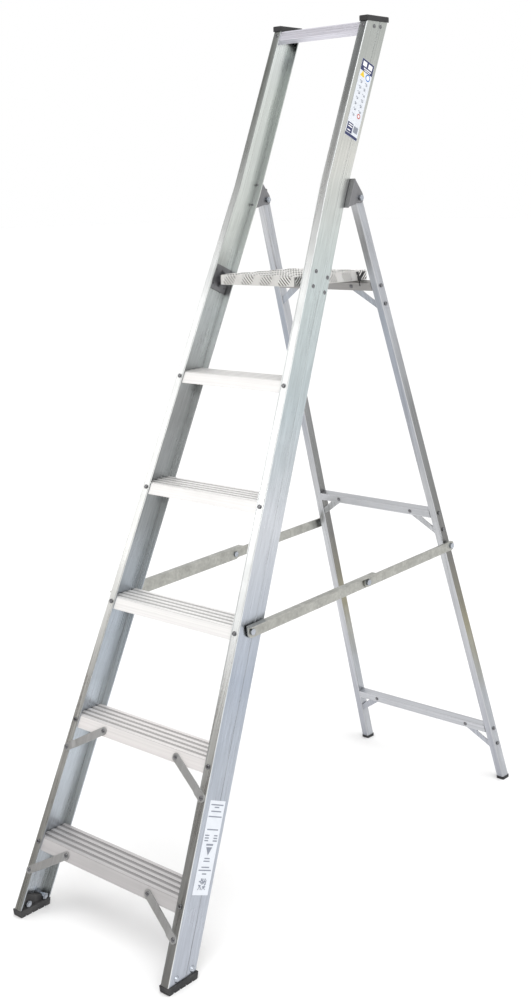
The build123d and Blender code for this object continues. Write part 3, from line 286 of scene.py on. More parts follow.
@dataclass(frozen=True)
class Aluminium:
    """Bare extruded or sheet aluminium with drawing streaks and clouding, painted shade in its
    corners and, on some parts, painted light and shade that change over height and sides.
    """

    name: str
    colour: tuple[float, float, float]
    grain: Grain
    roughness: float = 0.34
    streak: float = 0.16
    rub: float = 0.12
    cloud: float = 0.10
    # Strength and reach of the painted shade in corners, from ambient occlusion.
    painted_corner_shade: float = 0.45
    painted_shade_reach: float = 0.010
    edge: float = 0.0007
    metal: float = 1.0
    # Painted light and shade over the height, on sides and on faces.
    side_painted_light: tuple[Tone, ...] = ()
    face_painted_light: tuple[Tone, ...] = ()
    ribs_from: float | None = None
    rib_rise: float = 0.235
    rib_height: float = 0.0013

    def build(self) -> bpy.types.Material:
        """Make the material.

        Returns:
            The finished material.
        """
        bench = NodeBench(self.name)
        where = bench.add("TexCoord").outputs["Object"]
        drawn = bench.noise(bench.grain(self.grain, 260.0, 1.6), 1.0, 4.0, 0.65)
        bands = bench.noise(bench.grain(self.grain, 46.0, 0.7), 1.0, 3.0, 0.5)
        patches = bench.noise(where, 9.0, 4.0, 0.6)
        dark = rgba(self.colour, 1.0 - self.streak)
        light = rgba(self.colour, 1.0 + self.streak * 0.5)
        colour = bench.blend(bench.spread(drawn, 0.35, 0.65, (0, 1)), dark, light)
        veil = bench.spread(patches, 0.38, 0.68, (0.0, self.cloud * 2))
        colour = bench.blend(veil, colour, rgba(self.colour, 0.78))
        shade = bench.spread(bands, 0.35, 0.65, (0.0, self.streak * 1.3))
        colour = bench.blend(shade, colour, rgba(self.colour, 0.70))
        rubbed = bench.noise(bench.grain(self.grain, 90.0, 14.0), 1.0, 5.0, 0.75)
        marks = bench.spread(rubbed, 0.62, 0.76, (0.0, self.rub))
        colour = bench.blend(marks, colour, rgba(self.colour, 0.52))
        if self.ribs_from is not None:
            colour = self.furrows(bench, where, colour)
        # Painted light and shade, set by height and by which way the surface faces.
        if self.side_painted_light or self.face_painted_light:
            colour = self.paint_light_and_shade(bench, where, patches, colour)
        # Painted shade: ambient occlusion darkens the colour in corners and crevices.
        if self.painted_corner_shade:
            open_air = bench.painted_corner_shade(self.painted_shade_reach)
            painted_shade = bench.spread(open_air, 0.25, 0.95, (self.painted_corner_shade, 0.0))
            colour = bench.blend(painted_shade, colour, rgba(self.colour, 0.28))
        bench.feed(bench.shader, "Base Color", colour)
        dull = bench.spread(drawn, 0.3, 0.7, (self.roughness - 0.06, self.roughness + 0.08))
        dull = bench.math("ADD", dull, bench.spread(patches, 0.4, 0.7, (0.0, 0.09)))
        bench.feed(bench.shader, "Roughness", dull)
        bench.shader.inputs["Metallic"].default_value = self.metal
        bench.relief(bench.math("ADD", drawn, bands), 0.00006, self.edge)
        return bench.material

    def paint_light_and_shade(
        self,
        bench: NodeBench,
        where: bpy.types.NodeSocket,
        patches: bpy.types.NodeSocket,
        colour: bpy.types.NodeSocket,
    ) -> bpy.types.NodeSocket:
        """Paint light and shade into the metal's colour: it changes slowly over the height,
        differs between sides and faces, and rounded corners stay undarkened as a painted
        highlight.

        Args:
            bench: the material's bench.
            where: object coordinates.
            patches: slow noise that breaks the change up.
            colour: the metal's colour so far.

        Returns:
            The new colour.
        """
        height = bench.add("SeparateXYZ", Vector=where).outputs["Z"]
        share = bench.math("DIVIDE", height, TALLEST)
        share = bench.math("ADD", share, bench.spread(patches, 0.3, 0.7, (-0.012, 0.012)))
        plain = ((0.0, 1.0, 1.0, 1.0), (TALLEST, 1.0, 1.0, 1.0))
        sides = bench.ramp(share, self.side_painted_light or plain)
        faces = bench.ramp(share, self.face_painted_light or plain)
        facing = bench.add("SeparateXYZ", Vector=bench.add("NewGeometry").outputs["Normal"])
        sideways = bench.math("ABSOLUTE", facing.outputs["X"], 0.0)
        tone = bench.blend(bench.math("GREATER_THAN", sideways, SIDEWAYS), faces, sides)
        # Painted highlight: rounded corners between a side and a face are left undarkened.
        rounded = bench.math("COMPARE", sideways, CORNER_HIGHLIGHT_MIDDLE)
        rounded.node.inputs[2].default_value = CORNER_HIGHLIGHT_SPREAD
        tone = bench.blend(rounded, tone, rgba((1.0, 1.0, 1.0)))
        return bench.blend(1.0, colour, tone, "MULTIPLY")

    def furrows(
        self, bench: NodeBench, where: bpy.types.NodeSocket, colour: bpy.types.NodeSocket
    ) -> bpy.types.NodeSocket:
        """Darken the flat floors of the furrows between a tread's ribs.

        Args:
            bench: the material's bench.
            where: object coordinates.
            colour: the metal's colour so far.

        Returns:
            The new colour.
        """
        split = bench.add("SeparateXYZ", Vector=where)
        height = bench.math("SUBTRACT", split.outputs["Z"], self.ribs_from)
        step = bench.math("DIVIDE", bench.math("ADD", height, 0.002), self.rib_rise)
        above = bench.math("MULTIPLY", bench.math("FRACT", step, 0.0), self.rib_rise)
        drop = bench.math("SUBTRACT", 0.002, above)
        in_furrow = bench.math("COMPARE", drop, self.rib_height)
        in_furrow.node.inputs[2].default_value = 0.0004
        facing = bench.add("SeparateXYZ", Vector=bench.add("NewGeometry").outputs["Normal"])
        flat = bench.math("GREATER_THAN", facing.outputs["Z"], 0.9)
        amount = bench.math("MULTIPLY", bench.math("MULTIPLY", in_furrow, flat), 0.85)
        return bench.blend(amount, colour, rgba(self.colour, 0.50))


@dataclass(frozen=True)
class ZincSteel:
    """Zinc-coated steel: soft crystal patches and a dull shine."""

    name: str
    colour: tuple[float, float, float]
    crystal: float = 240.0
    roughness: float = 0.42
    # Strength of the painted shade in corners, from ambient occlusion.
    painted_corner_shade: float = 0.5

    def build(self) -> bpy.types.Material:
        """Make the material.

        Returns:
            The finished material.
        """
        bench = NodeBench(self.name)
        where = bench.add("TexCoord").outputs["Object"]
        cells = bench.add("TexVoronoi", Vector=where, Scale=self.crystal)
        tone = bench.add("SeparateColor", Color=cells.outputs["Color"]).outputs[0]
        haze = bench.noise(where, 35.0, 4.0, 0.6)
        colour = bench.blend(
            bench.spread(tone, 0.0, 1.0, (0.0, 0.8)),
            rgba(self.colour, 0.86),
            rgba(self.colour, 1.12),
        )
        colour = bench.blend(
            bench.spread(haze, 0.42, 0.7, (0.0, 0.45)), colour, rgba(self.colour, 0.66)
        )
        # Painted shade: ambient occlusion darkens the colour in corners.
        painted_shade = bench.spread(bench.painted_corner_shade(0.006), 0.3, 0.95, (self.painted_corner_shade, 0.0))
        colour = bench.blend(painted_shade, colour, rgba(self.colour, 0.22))
        bench.feed(bench.shader, "Base Color", colour)
        dull = bench.spread(haze, 0.3, 0.7, (self.roughness - 0.08, self.roughness + 0.1))
        bench.feed(bench.shader, "Roughness", dull)
        bench.shader.inputs["Metallic"].default_value = 1.0
        bench.relief(haze, 0.00005, 0.0005)
        return bench.material


@dataclass(frozen=True)
class BlackMoulding:
    """Charcoal plastic or rubber with a fine moulded texture and rubbed edges."""

    name: str
    colour: tuple[float, float, float]
    roughness: float = 0.6
    texture: float = 900.0
    depth: float = 0.00012
    dust: float = 0.25
    edge: float = 0.0008

    def build(self) -> bpy.types.Material:
        """Make the material.

        Returns:
            The finished material.
        """
        bench = NodeBench(self.name)
        where = bench.add("TexCoord").outputs["Object"]
        pores = bench.noise(where, self.texture, 3.0, 0.6)
        film = bench.noise(where, 28.0, 5.0, 0.65)
        colour = bench.blend(
            bench.spread(film, 0.42, 0.72, (0.0, self.dust)),
            rgba(self.colour),
            rgba((0.19, 0.185, 0.18)),
        )
        bench.feed(bench.shader, "Base Color", colour)
        dull = bench.spread(film, 0.3, 0.7, (self.roughness - 0.08, self.roughness + 0.1))
        bench.feed(bench.shader, "Roughness", dull)
        bench.relief(pores, self.depth, self.edge)
        return bench.material


@dataclass(frozen=True)
class PrintedFilm:
    """Glossy label film or the ink on it, very slightly uneven."""

    name: str
    colour: tuple[float, float, float]
    roughness: float = 0.32

    def build(self) -> bpy.types.Material:
        """Make the material.

        Returns:
            The finished material.
        """
        bench = NodeBench(self.name)
        where = bench.add("TexCoord").outputs["Object"]
        wave = bench.noise(where, 60.0, 3.0, 0.5)
        colour = bench.blend(
            bench.spread(wave, 0.4, 0.7, (0.0, 0.5)),
            rgba(self.colour),
            rgba(self.colour, 0.9),
        )
        bench.feed(bench.shader, "Base Color", colour)
        dull = bench.spread(wave, 0.3, 0.7, (self.roughness - 0.05, self.roughness + 0.08))
        bench.feed(bench.shader, "Roughness", dull)
        bench.relief(wave, 0.00004, 0.0001)
        return bench.material


# ------------------------------------------------------------------ mesh work
def new_piece(
    name: str, shape: bmesh.types.BMesh, body: str, finish: bpy.types.Material
) -> bpy.types.Object:
    """Turn a bmesh into a piece that rides on a body.

    Args:
        name: the piece's name.
        shape: its geometry, in metres, already in place.
        body: CAD body that carries it.
        finish: its material.

    Returns:
        The new object.
    """
    mesh = bpy.data.meshes.new(name)
    shape.to_mesh(mesh)
    shape.free()
    mesh.materials.append(finish)
    piece = bpy.data.objects.new(name, mesh)
    bpy.context.scene.collection.objects.link(piece)
    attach(piece, body)
    log.info("piece %s: %d faces on %s", name, len(mesh.polygons), body)
    return piece


def smooth(shape: bmesh.types.BMesh) -> None:
    """Shade every face smooth."""
    for face in shape.faces:
        face.smooth = True


def frame_matrix(origin: Vector, right: Vector, up: Vector) -> Matrix:
    """Matrix that lays local X along right, Y along up and Z out of the face.

    Args:
        origin: where the local origin goes.
        right: direction of local X.
        up: direction near local Y.

    Returns:
        The matrix.
    """
    x_way = right.normalized()
    z_way = x_way.cross(up).normalized()
    y_way = z_way.cross(x_way)
    turn = Matrix((x_way, y_way, z_way)).transposed().to_4x4()
    turn.translation = origin
    return turn


@dataclass
class PlateFace:
    """A flat face of the deck that carries raised bars.

    The groups of bars stand on a lattice whose first group is at start.
    """

    corner: Vector
    right: Vector
    up: Vector
    width: float
    height: float
    start: tuple[float, float]
    rise: float
    lean: int = 1


@dataclass
class TreadPlateDeck:
    """The platform: a folded sheet with groups of five raised bars on its top and lips."""

    node: str = "platform_deck"
    body: str = "platform"
    pitch: float = 0.0540
    bars: int = 5
    bar_pitch: float = 0.0060
    bar_length: float = 0.0310
    bar_width: float = 0.0041
    crest: float = 0.74
    top_rise: float = 0.0011
    side_rise: float = 0.0008
    # Height and top width of the dark pads that paint the shadow between bars.
    shadow_pad_share: float = 0.72
    shadow_pad_crest: float = 0.98
    inner_reach: float = 0.90
    outer_reach: float = 0.74
    taper: float = 0.10
    sunk: float = 0.0003
    margin: float = 0.0012
    segments: int = 8

    def faces(self) -> list[PlateFace]:
        """Find the deck's faces.

        Returns:
            Its top, its front and rear lips, and its right and left lips.
        """
        low, high = (Vector(corner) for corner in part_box(self.node))
        size = high - low
        half = self.pitch / 2
        ahead, right, up = Vector((0, 1, 0)), Vector((1, 0, 0)), Vector((0, 0, 1))
        top = (size.x / 2, half)
        front = (size.x / 2 - half, size.z / 2)
        side = (half * 0.8, size.z / 2)
        wide, deep, tall, rise = size.x, size.y, size.z, self.side_rise
        top_corner = Vector((low.x, low.y, high.z))
        rear_corner = Vector((high.x, high.y, low.z))
        right_corner = Vector((high.x, low.y, low.z))
        left_corner = Vector((low.x, high.y, low.z))
        return [
            PlateFace(top_corner, right, ahead, wide, deep, top, self.top_rise),
            PlateFace(low.copy(), right, up, wide, tall, front, rise, -1),
            PlateFace(rear_corner, -right, up, wide, tall, front, rise, -1),
            PlateFace(right_corner, ahead, up, deep, tall, side, rise),
            PlateFace(left_corner, -ahead, up, deep, tall, side, rise),
        ]

    def pad(self, shape: bmesh.types.BMesh, place: Matrix, size: Vector, crest: float) -> None:
        """Raise one long rounded pad, which is a bar or a dark pad of painted shadow beside it.

        Args:
            shape: mesh to add it to.
            place: its middle, with local X along it and Z out of the sheet.
            size: its length, width and height.
            crest: its width at the top, as a share.
        """
        made = bmesh.ops.create_circle(shape, cap_ends=True, segments=self.segments, radius=0.5)
        base = made["verts"]
        bmesh.ops.scale(shape, vec=(size.x, size.y, 1.0), verts=base)
        bmesh.ops.translate(shape, vec=(0, 0, -self.sunk), verts=base)
        face = base[0].link_faces[0]
        lifted = bmesh.ops.extrude_face_region(shape, geom=[face], use_keep_orig=True)
        top = [item for item in lifted["geom"] if isinstance(item, bmesh.types.BMVert)]
        bmesh.ops.translate(shape, vec=(0, 0, size.z + self.sunk), verts=top)
        bmesh.ops.scale(shape, vec=(1 - (1 - crest) * 0.3, crest, 1.0), verts=top)
        bmesh.ops.transform(shape, matrix=place, verts=base + top)

    def span(
        self, face: PlateFace, centre: Vector, along: Vector, reach: float
    ) -> tuple[Vector, Vector] | None:
        """Cut a bar's line short where the face ends.

        Args:
            face: the face that carries it.
            centre: its middle on the face.
            along: its direction on the face.
            reach: half its full length.

        Returns:
            Its two ends, or None where nothing is left.
        """
        ends = []
        for way in (-1, 1):
            room = reach
            for axis, limit in ((0, face.width), (1, face.height)):
                speed = along[axis] * way
                edge = limit - self.margin if speed > 0 else self.margin
                room = min(room, (edge - centre[axis]) / speed)
            ends.append(centre + along * way * room)
        if (ends[1] - ends[0]).dot(along) < 1.5 * self.bar_width:
            return None
        return ends[0], ends[1]

    def group(
        self,
        face: PlateFace,
        middle: Vector,
        lean: int,
        bars: bmesh.types.BMesh,
        shadow_pads: bmesh.types.BMesh,
    ) -> None:
        """Place one group: its bars, and dark pads of painted shadow between them.

        Args:
            face: the face that carries it.
            middle: middle of the group on the face.
            lean: 1 or -1, the way the group leans.
            bars: mesh of the bars.
            shadow_pads: mesh of the dark pads of painted shadow.
        """
        to_world = frame_matrix(face.corner, face.right, face.up)
        along = Vector((1, lean, 0)).normalized()
        across = Vector((-along.y, along.x, 0))
        turn = Matrix.Rotation(math.atan2(along.y, along.x), 4, "Z")
        half = (self.bars - 1) / 2
        for step in range(2 * self.bars + 1):
            offset = ((step - 1) / 2 - half) * self.bar_pitch
            is_bar = step % 2 == 1
            reach = self.bar_length / 2 - abs(offset) * self.taper
            if not is_bar:
                reach *= self.inner_reach if 0 < step < 2 * self.bars else self.outer_reach
            ends = self.span(face, middle + across * offset, along, reach)
            if ends is None:
                continue
            place = to_world @ Matrix.Translation((ends[0] + ends[1]) / 2) @ turn
            length = (ends[1] - ends[0]).length
            if is_bar:
                size = Vector((length, self.bar_width, face.rise))
                self.pad(bars, place, size, self.crest)
            else:
                # Between bars: a dark pad that paints the shadow.
                width = self.bar_pitch - self.bar_width * self.crest
                size = Vector((length, width, face.rise * self.shadow_pad_share))
                self.pad(shadow_pads, place, size, self.shadow_pad_crest)

    def build(self, metal: bpy.types.Material, painted_shade: bpy.types.Material) -> None:
        """Make the raised bars and put them on the platform.

        Args:
            metal: finish of the bars.
            painted_shade: finish of the dark pads that paint the shadow between them.
        """
        bars, shadow_pads = bmesh.new(), bmesh.new()
        for face in self.faces():
            columns = math.ceil(face.width / self.pitch) + 1
            rows = math.ceil(face.height / self.pitch) + 1
            for column in range(-columns, columns + 1):
                for row in range(-rows, rows + 1):
                    for lean, shift in ((1, 0.0), (-1, self.pitch / 2)):
                        middle = Vector(
                            (
                                face.start[0] + column * self.pitch + shift,
                                face.start[1] + row * self.pitch + shift,
                                0.0,
                            )
                        )
                        self.group(face, middle, lean * face.lean, bars, shadow_pads)
        for shape in (bars, shadow_pads):
            bmesh.ops.recalc_face_normals(shape, faces=shape.faces)
        new_piece("deck_raised_bars", bars, self.body, metal)
        # Dark pads between the bars: painted shadow.
        new_piece("deck_painted_bar_shadows", shadow_pads, self.body, painted_shade)


@dataclass
class PopRivets:
    """Blind rivets with a domed head, in the places of one group of CAD rivets."""

    node: str
    body: str
    profile: tuple[tuple[float, float], ...] = (
        (1.00, 0.00),
        (0.99, 0.28),
        (0.90, 0.62),
        (0.70, 0.88),
        (0.46, 0.98),
        (0.34, 1.00),
        (0.28, 0.80),
    )
    dimple: float = 0.66
    head_radius: float = 0.0046
    head_height: float = 0.0018
    shank_radius: float = 0.0024
    steps: int = 16

    def places(self, node: bpy.types.Object) -> list[tuple[Vector, Vector, float]]:
        """Find the rivets in the CAD mesh.

        Args:
            node: the CAD rivets.

        Returns:
            For each, the top of its head, the way out of it and its length.
        """
        copy = bmesh.new()
        copy.from_mesh(node.data)
        bmesh.ops.remove_doubles(copy, verts=copy.verts, dist=WELD)
        copy.faces.ensure_lookup_table()
        seen: set[int] = set()
        found = []
        for first in copy.faces:
            if first.index in seen:
                continue
            seen.add(first.index)
            island, queue = [], [first]
            while queue:
                face = queue.pop()
                island.append(face)
                for edge in face.edges:
                    for other in edge.link_faces:
                        if other.index not in seen:
                            seen.add(other.index)
                            queue.append(other)
            found.append(self.measure(island))
        copy.free()
        return found

    def measure(self, island: list[bmesh.types.BMFace]) -> tuple[Vector, Vector, float]:
        """Read one rivet, whose widest flat face is the top of its head.

        Args:
            island: every face of the rivet.

        Returns:
            The top of its head, the way out of it and its length.
        """
        flats: dict[tuple[float, ...], list[bmesh.types.BMFace]] = {}
        for face in island:
            level = face.normal.dot(face.calc_center_median())
            key = tuple(round(part, 2) for part in face.normal) + (round(level, 4),)
            flats.setdefault(key, []).append(face)
        top = max(flats.values(), key=lambda faces: sum(face.calc_area() for face in faces))
        area = sum(face.calc_area() for face in top)
        way = sum((face.normal * face.calc_area() for face in top), Vector()).normalized()
        spots = (face.calc_center_median() * face.calc_area() for face in top)
        middle = sum(spots, Vector()) / area
        depths = [(middle - vert.co).dot(way) for face in island for vert in face.verts]
        return middle, way, max(depths)

    def turn_one(
        self, shape: bmesh.types.BMesh, middle: Vector, way: Vector, length: float
    ) -> None:
        """Spin one rivet about its own line.

        Args:
            shape: mesh to add it to.
            middle: top of its head.
            way: direction out of its head.
            length: from the top of the head to the end of the shank.
        """
        end = self.head_height - length
        outline = [(0.0, end), (self.shank_radius, end), (self.shank_radius, 0.0)]
        outline += [(r * self.head_radius, h * self.head_height) for r, h in self.profile]
        outline.append((0.0, self.dimple * self.head_height))
        verts = [shape.verts.new((radius, 0.0, up)) for radius, up in outline]
        edges = [shape.edges.new(pair) for pair in zip(verts, verts[1:])]
        bmesh.ops.spin(
            shape,
            geom=verts + edges,
            cent=(0, 0, 0),
            axis=(0, 0, 1),
            angle=math.tau,
            steps=self.steps,
            use_merge=True,
        )
        everything = set(verts)
        queue = list(verts)
        while queue:
            for edge in queue.pop().link_edges:
                for vert in edge.verts:
                    if vert not in everything:
                        everything.add(vert)
                        queue.append(vert)
        base = middle - way * self.head_height
        helper = Vector((0, 0, 1)) if abs(way.z) < 0.9 else Vector((1, 0, 0))
        side = helper.cross(way)
        place = frame_matrix(base, side, way.cross(side))
        bmesh.ops.transform(shape, matrix=place, verts=list(everything))

    def build(self, node: bpy.types.Object, finish: bpy.types.Material) -> None:
        """Make the rivets and let them stand for the CAD ones.

        Args:
            node: the CAD rivets.
            finish: metal of the rivets.
        """
        shape = bmesh.new()
        for middle, way, length in self.places(node):
            self.turn_one(shape, middle, way, length)
        bmesh.ops.remove_doubles(shape, verts=shape.verts, dist=WELD)
        bmesh.ops.recalc_face_normals(shape, faces=shape.faces)
        smooth(shape)
        name = "domed_" + self.node
        piece = new_piece(name, shape, self.body, finish)
        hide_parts(self.node)


@dataclass(frozen=True)
class Mark:
    """One printed mark: centre and size as shares of the label, and its ink."""

    outline: Outline
    across: float
    up: float
    width: float
    height: float
    ink: Ink


@dataclass
class PrintedLabel:
    """Generic print laid on one of the label films."""

    node: str
    marks: Sequence[Mark]
    body: str = "front_frame"
    slot: str = "label_film"
    thickness: float = 0.00012
    lift: float = 0.00002
    place: Matrix = field(default_factory=Matrix)
    width: float = 0.0
    height: float = 0.0

    def measure(self, node: bpy.types.Object) -> None:
        """Find the film's outer face, its middle and its size.

        Args:
            node: the film's CAD object.
        """
        mesh = node.data
        outer = [face for face in mesh.polygons if face.normal.x > 0.9]
        normal = sum((face.normal * face.area for face in outer), Vector()).normalized()
        up = Vector((0.0, math.sin(STILE_LEAN), math.cos(STILE_LEAN)))
        up = (up - normal * up.dot(normal)).normalized()
        right = up.cross(normal)
        corners = [mesh.vertices[index].co for face in outer for index in face.vertices]
        across = [corner.dot(right) for corner in corners]
        along = [corner.dot(up) for corner in corners]
        out = max(corner.dot(normal) for corner in corners)
        self.width = max(across) - min(across)
        self.height = max(along) - min(along)
        middle = (
            right * (max(across) + min(across)) / 2
            + up * (max(along) + min(along)) / 2
            + normal * (out + self.lift)
        )
        self.place = frame_matrix(middle, right, up)

    def stamp(self, shape: bmesh.types.BMesh, mark: Mark, order: int) -> None:
        """Add one mark as a thin closed film.

        Args:
            shape: mesh to add it to.
            mark: what to print.
            order: layer, so that marks over marks stay apart.
        """
        wide, tall = mark.width * self.width, mark.height * self.height
        if mark.outline is Outline.BLOCK:
            made = bmesh.ops.create_grid(shape, x_segments=1, y_segments=1, size=0.5)["verts"]
        else:
            wide = tall = min(wide, tall)
            sides, radius = (24, 0.5) if mark.outline is Outline.DISC else (3, 0.577)
            made = bmesh.ops.create_circle(
                shape, cap_ends=True, segments=sides, radius=radius
            )["verts"]
            if mark.outline is Outline.LOAD:
                tall = -tall
        faces = list({face for vert in made for face in vert.link_faces})
        raised = bmesh.ops.extrude_face_region(shape, geom=faces, use_keep_orig=True)
        top = [item for item in raised["geom"] if isinstance(item, bmesh.types.BMVert)]
        rise = self.thickness * (1 + order)
        everything = list(made) + top
        bmesh.ops.scale(shape, vec=(wide, tall, 1), verts=everything)
        bmesh.ops.translate(shape, vec=(0, 0, rise), verts=top)
        shift = Vector((mark.across - 0.5, mark.up - 0.5, 0))
        shift = Vector((shift.x * self.width, shift.y * self.height, 0))
        bmesh.ops.translate(shape, vec=shift, verts=everything)
        bmesh.ops.transform(shape, matrix=self.place, verts=everything)

    def build(self, node: bpy.types.Object, inks: dict[Ink, bpy.types.Material]) -> None:
        """Print the label, one piece for each ink.

        Args:
            node: the film's CAD object.
            inks: material of each ink.
        """
        self.measure(node)
        for layer, ink in enumerate(inks):
            chosen = [mark for mark in self.marks if mark.ink is ink]
            if not chosen:
                continue
            shape = bmesh.new()
            over = 1 if ink is Ink.WHITE else 0
            for mark in chosen:
                self.stamp(shape, mark, over)
            bmesh.ops.recalc_face_normals(shape, faces=shape.faces)
            name = f"{self.node}_{ink.name.lower()}_print"
            new_piece(name, shape, self.body, inks[ink])


def guidance_marks() -> list[Mark]:
    """Lay out the upper label.

    Returns:
        A heading block, safety signs and small pictograms.
    """
    block, disc, wedge = Outline.BLOCK, Outline.DISC, Outline.TRIANGLE
    marks = [
        Mark(block, 0.50, 0.925, 0.98, 0.146, Ink.NAVY),
        Mark(block, 0.27, 0.945, 0.30, 0.060, Ink.WHITE),
        Mark(block, 0.72, 0.945, 0.32, 0.060, Ink.WHITE),
        Mark(block, 0.55, 0.890, 0.62, 0.012, Ink.WHITE),
        Mark(block, 0.55, 0.868, 0.48, 0.010, Ink.WHITE),
        Mark(wedge, 0.27, 0.806, 0.38, 0.090, Ink.YELLOW),
        Mark(disc, 0.72, 0.806, 0.36, 0.090, Ink.BLUE),
        Mark(disc, 0.72, 0.806, 0.24, 0.060, Ink.WHITE),
        Mark(disc, 0.72, 0.300, 0.26, 0.070, Ink.RED),
        Mark(disc, 0.72, 0.300, 0.14, 0.040, Ink.WHITE),
        Mark(block, 0.27, 0.110, 0.44, 0.125, Ink.NAVY),
        Mark(block, 0.50, 0.022, 0.98, 0.036, Ink.NAVY),
        Mark(block, 0.28, 0.150, 0.32, 0.012, Ink.WHITE),
        Mark(block, 0.28, 0.122, 0.32, 0.012, Ink.WHITE),
        Mark(block, 0.24, 0.075, 0.24, 0.014, Ink.WHITE),
        Mark(block, 0.74, 0.120, 0.34, 0.080, Ink.GREY),
    ]
    dice = random.Random(5)
    for row in range(7):
        up = 0.715 - row * 0.072
        for across in (0.28, 0.70):
            if row == 6 and across > 0.5:
                continue
            left = across + dice.uniform(-0.04, 0.04)
            tall = dice.uniform(0.026, 0.040)
            marks += [
                Mark(block, left, up, 0.035, tall, Ink.GREY),
                Mark(block, left + 0.07, up + 0.004, 0.03, tall * 0.8, Ink.GREY),
                Mark(block, left + 0.035, up - 0.008, 0.12, 0.006, Ink.GREY),
                Mark(disc, across - 0.06, up + 0.012, 0.06, 0.016, Ink.GREY),
            ]
    return marks


def rating_marks() -> list[Mark]:
    """Lay out the lower label.

    Returns:
        Rows of plain dashes, a load sign and a square code.
    """
    block, load = Outline.BLOCK, Outline.LOAD
    rows = [
        (0.955, 0.80, 0.5), (0.928, 0.30, 0.5), (0.885, 0.66, 0.5), (0.828, 0.86, 0.5),
        (0.690, 0.72, 0.5), (0.628, 0.28, 0.22), (0.628, 0.22, 0.78), (0.600, 0.26, 0.22),
        (0.600, 0.24, 0.78), (0.572, 0.24, 0.22), (0.572, 0.28, 0.78), (0.385, 0.34, 0.5),
        (0.356, 0.40, 0.5), (0.292, 0.50, 0.5), (0.260, 0.80, 0.5), (0.222, 0.28, 0.5),
    ]
    marks = [Mark(block, across, up, wide, 0.013, Ink.GREY) for up, wide, across in rows]
    marks.append(Mark(block, 0.5, 0.530, 0.44, 0.020, Ink.GREY))
    marks.append(Mark(load, 0.5, 0.475, 0.40, 0.100, Ink.GREY))
    dice = random.Random(11)
    cells = 9
    for column in range(cells):
        for row in range(cells):
            if dice.random() < 0.5:
                across = 0.5 + (column - (cells - 1) / 2) * 0.052
                up = 0.115 + (row - (cells - 1) / 2) * 0.0134
                marks.append(Mark(block, across, up, 0.052, 0.0134, Ink.GREY))
    return marks


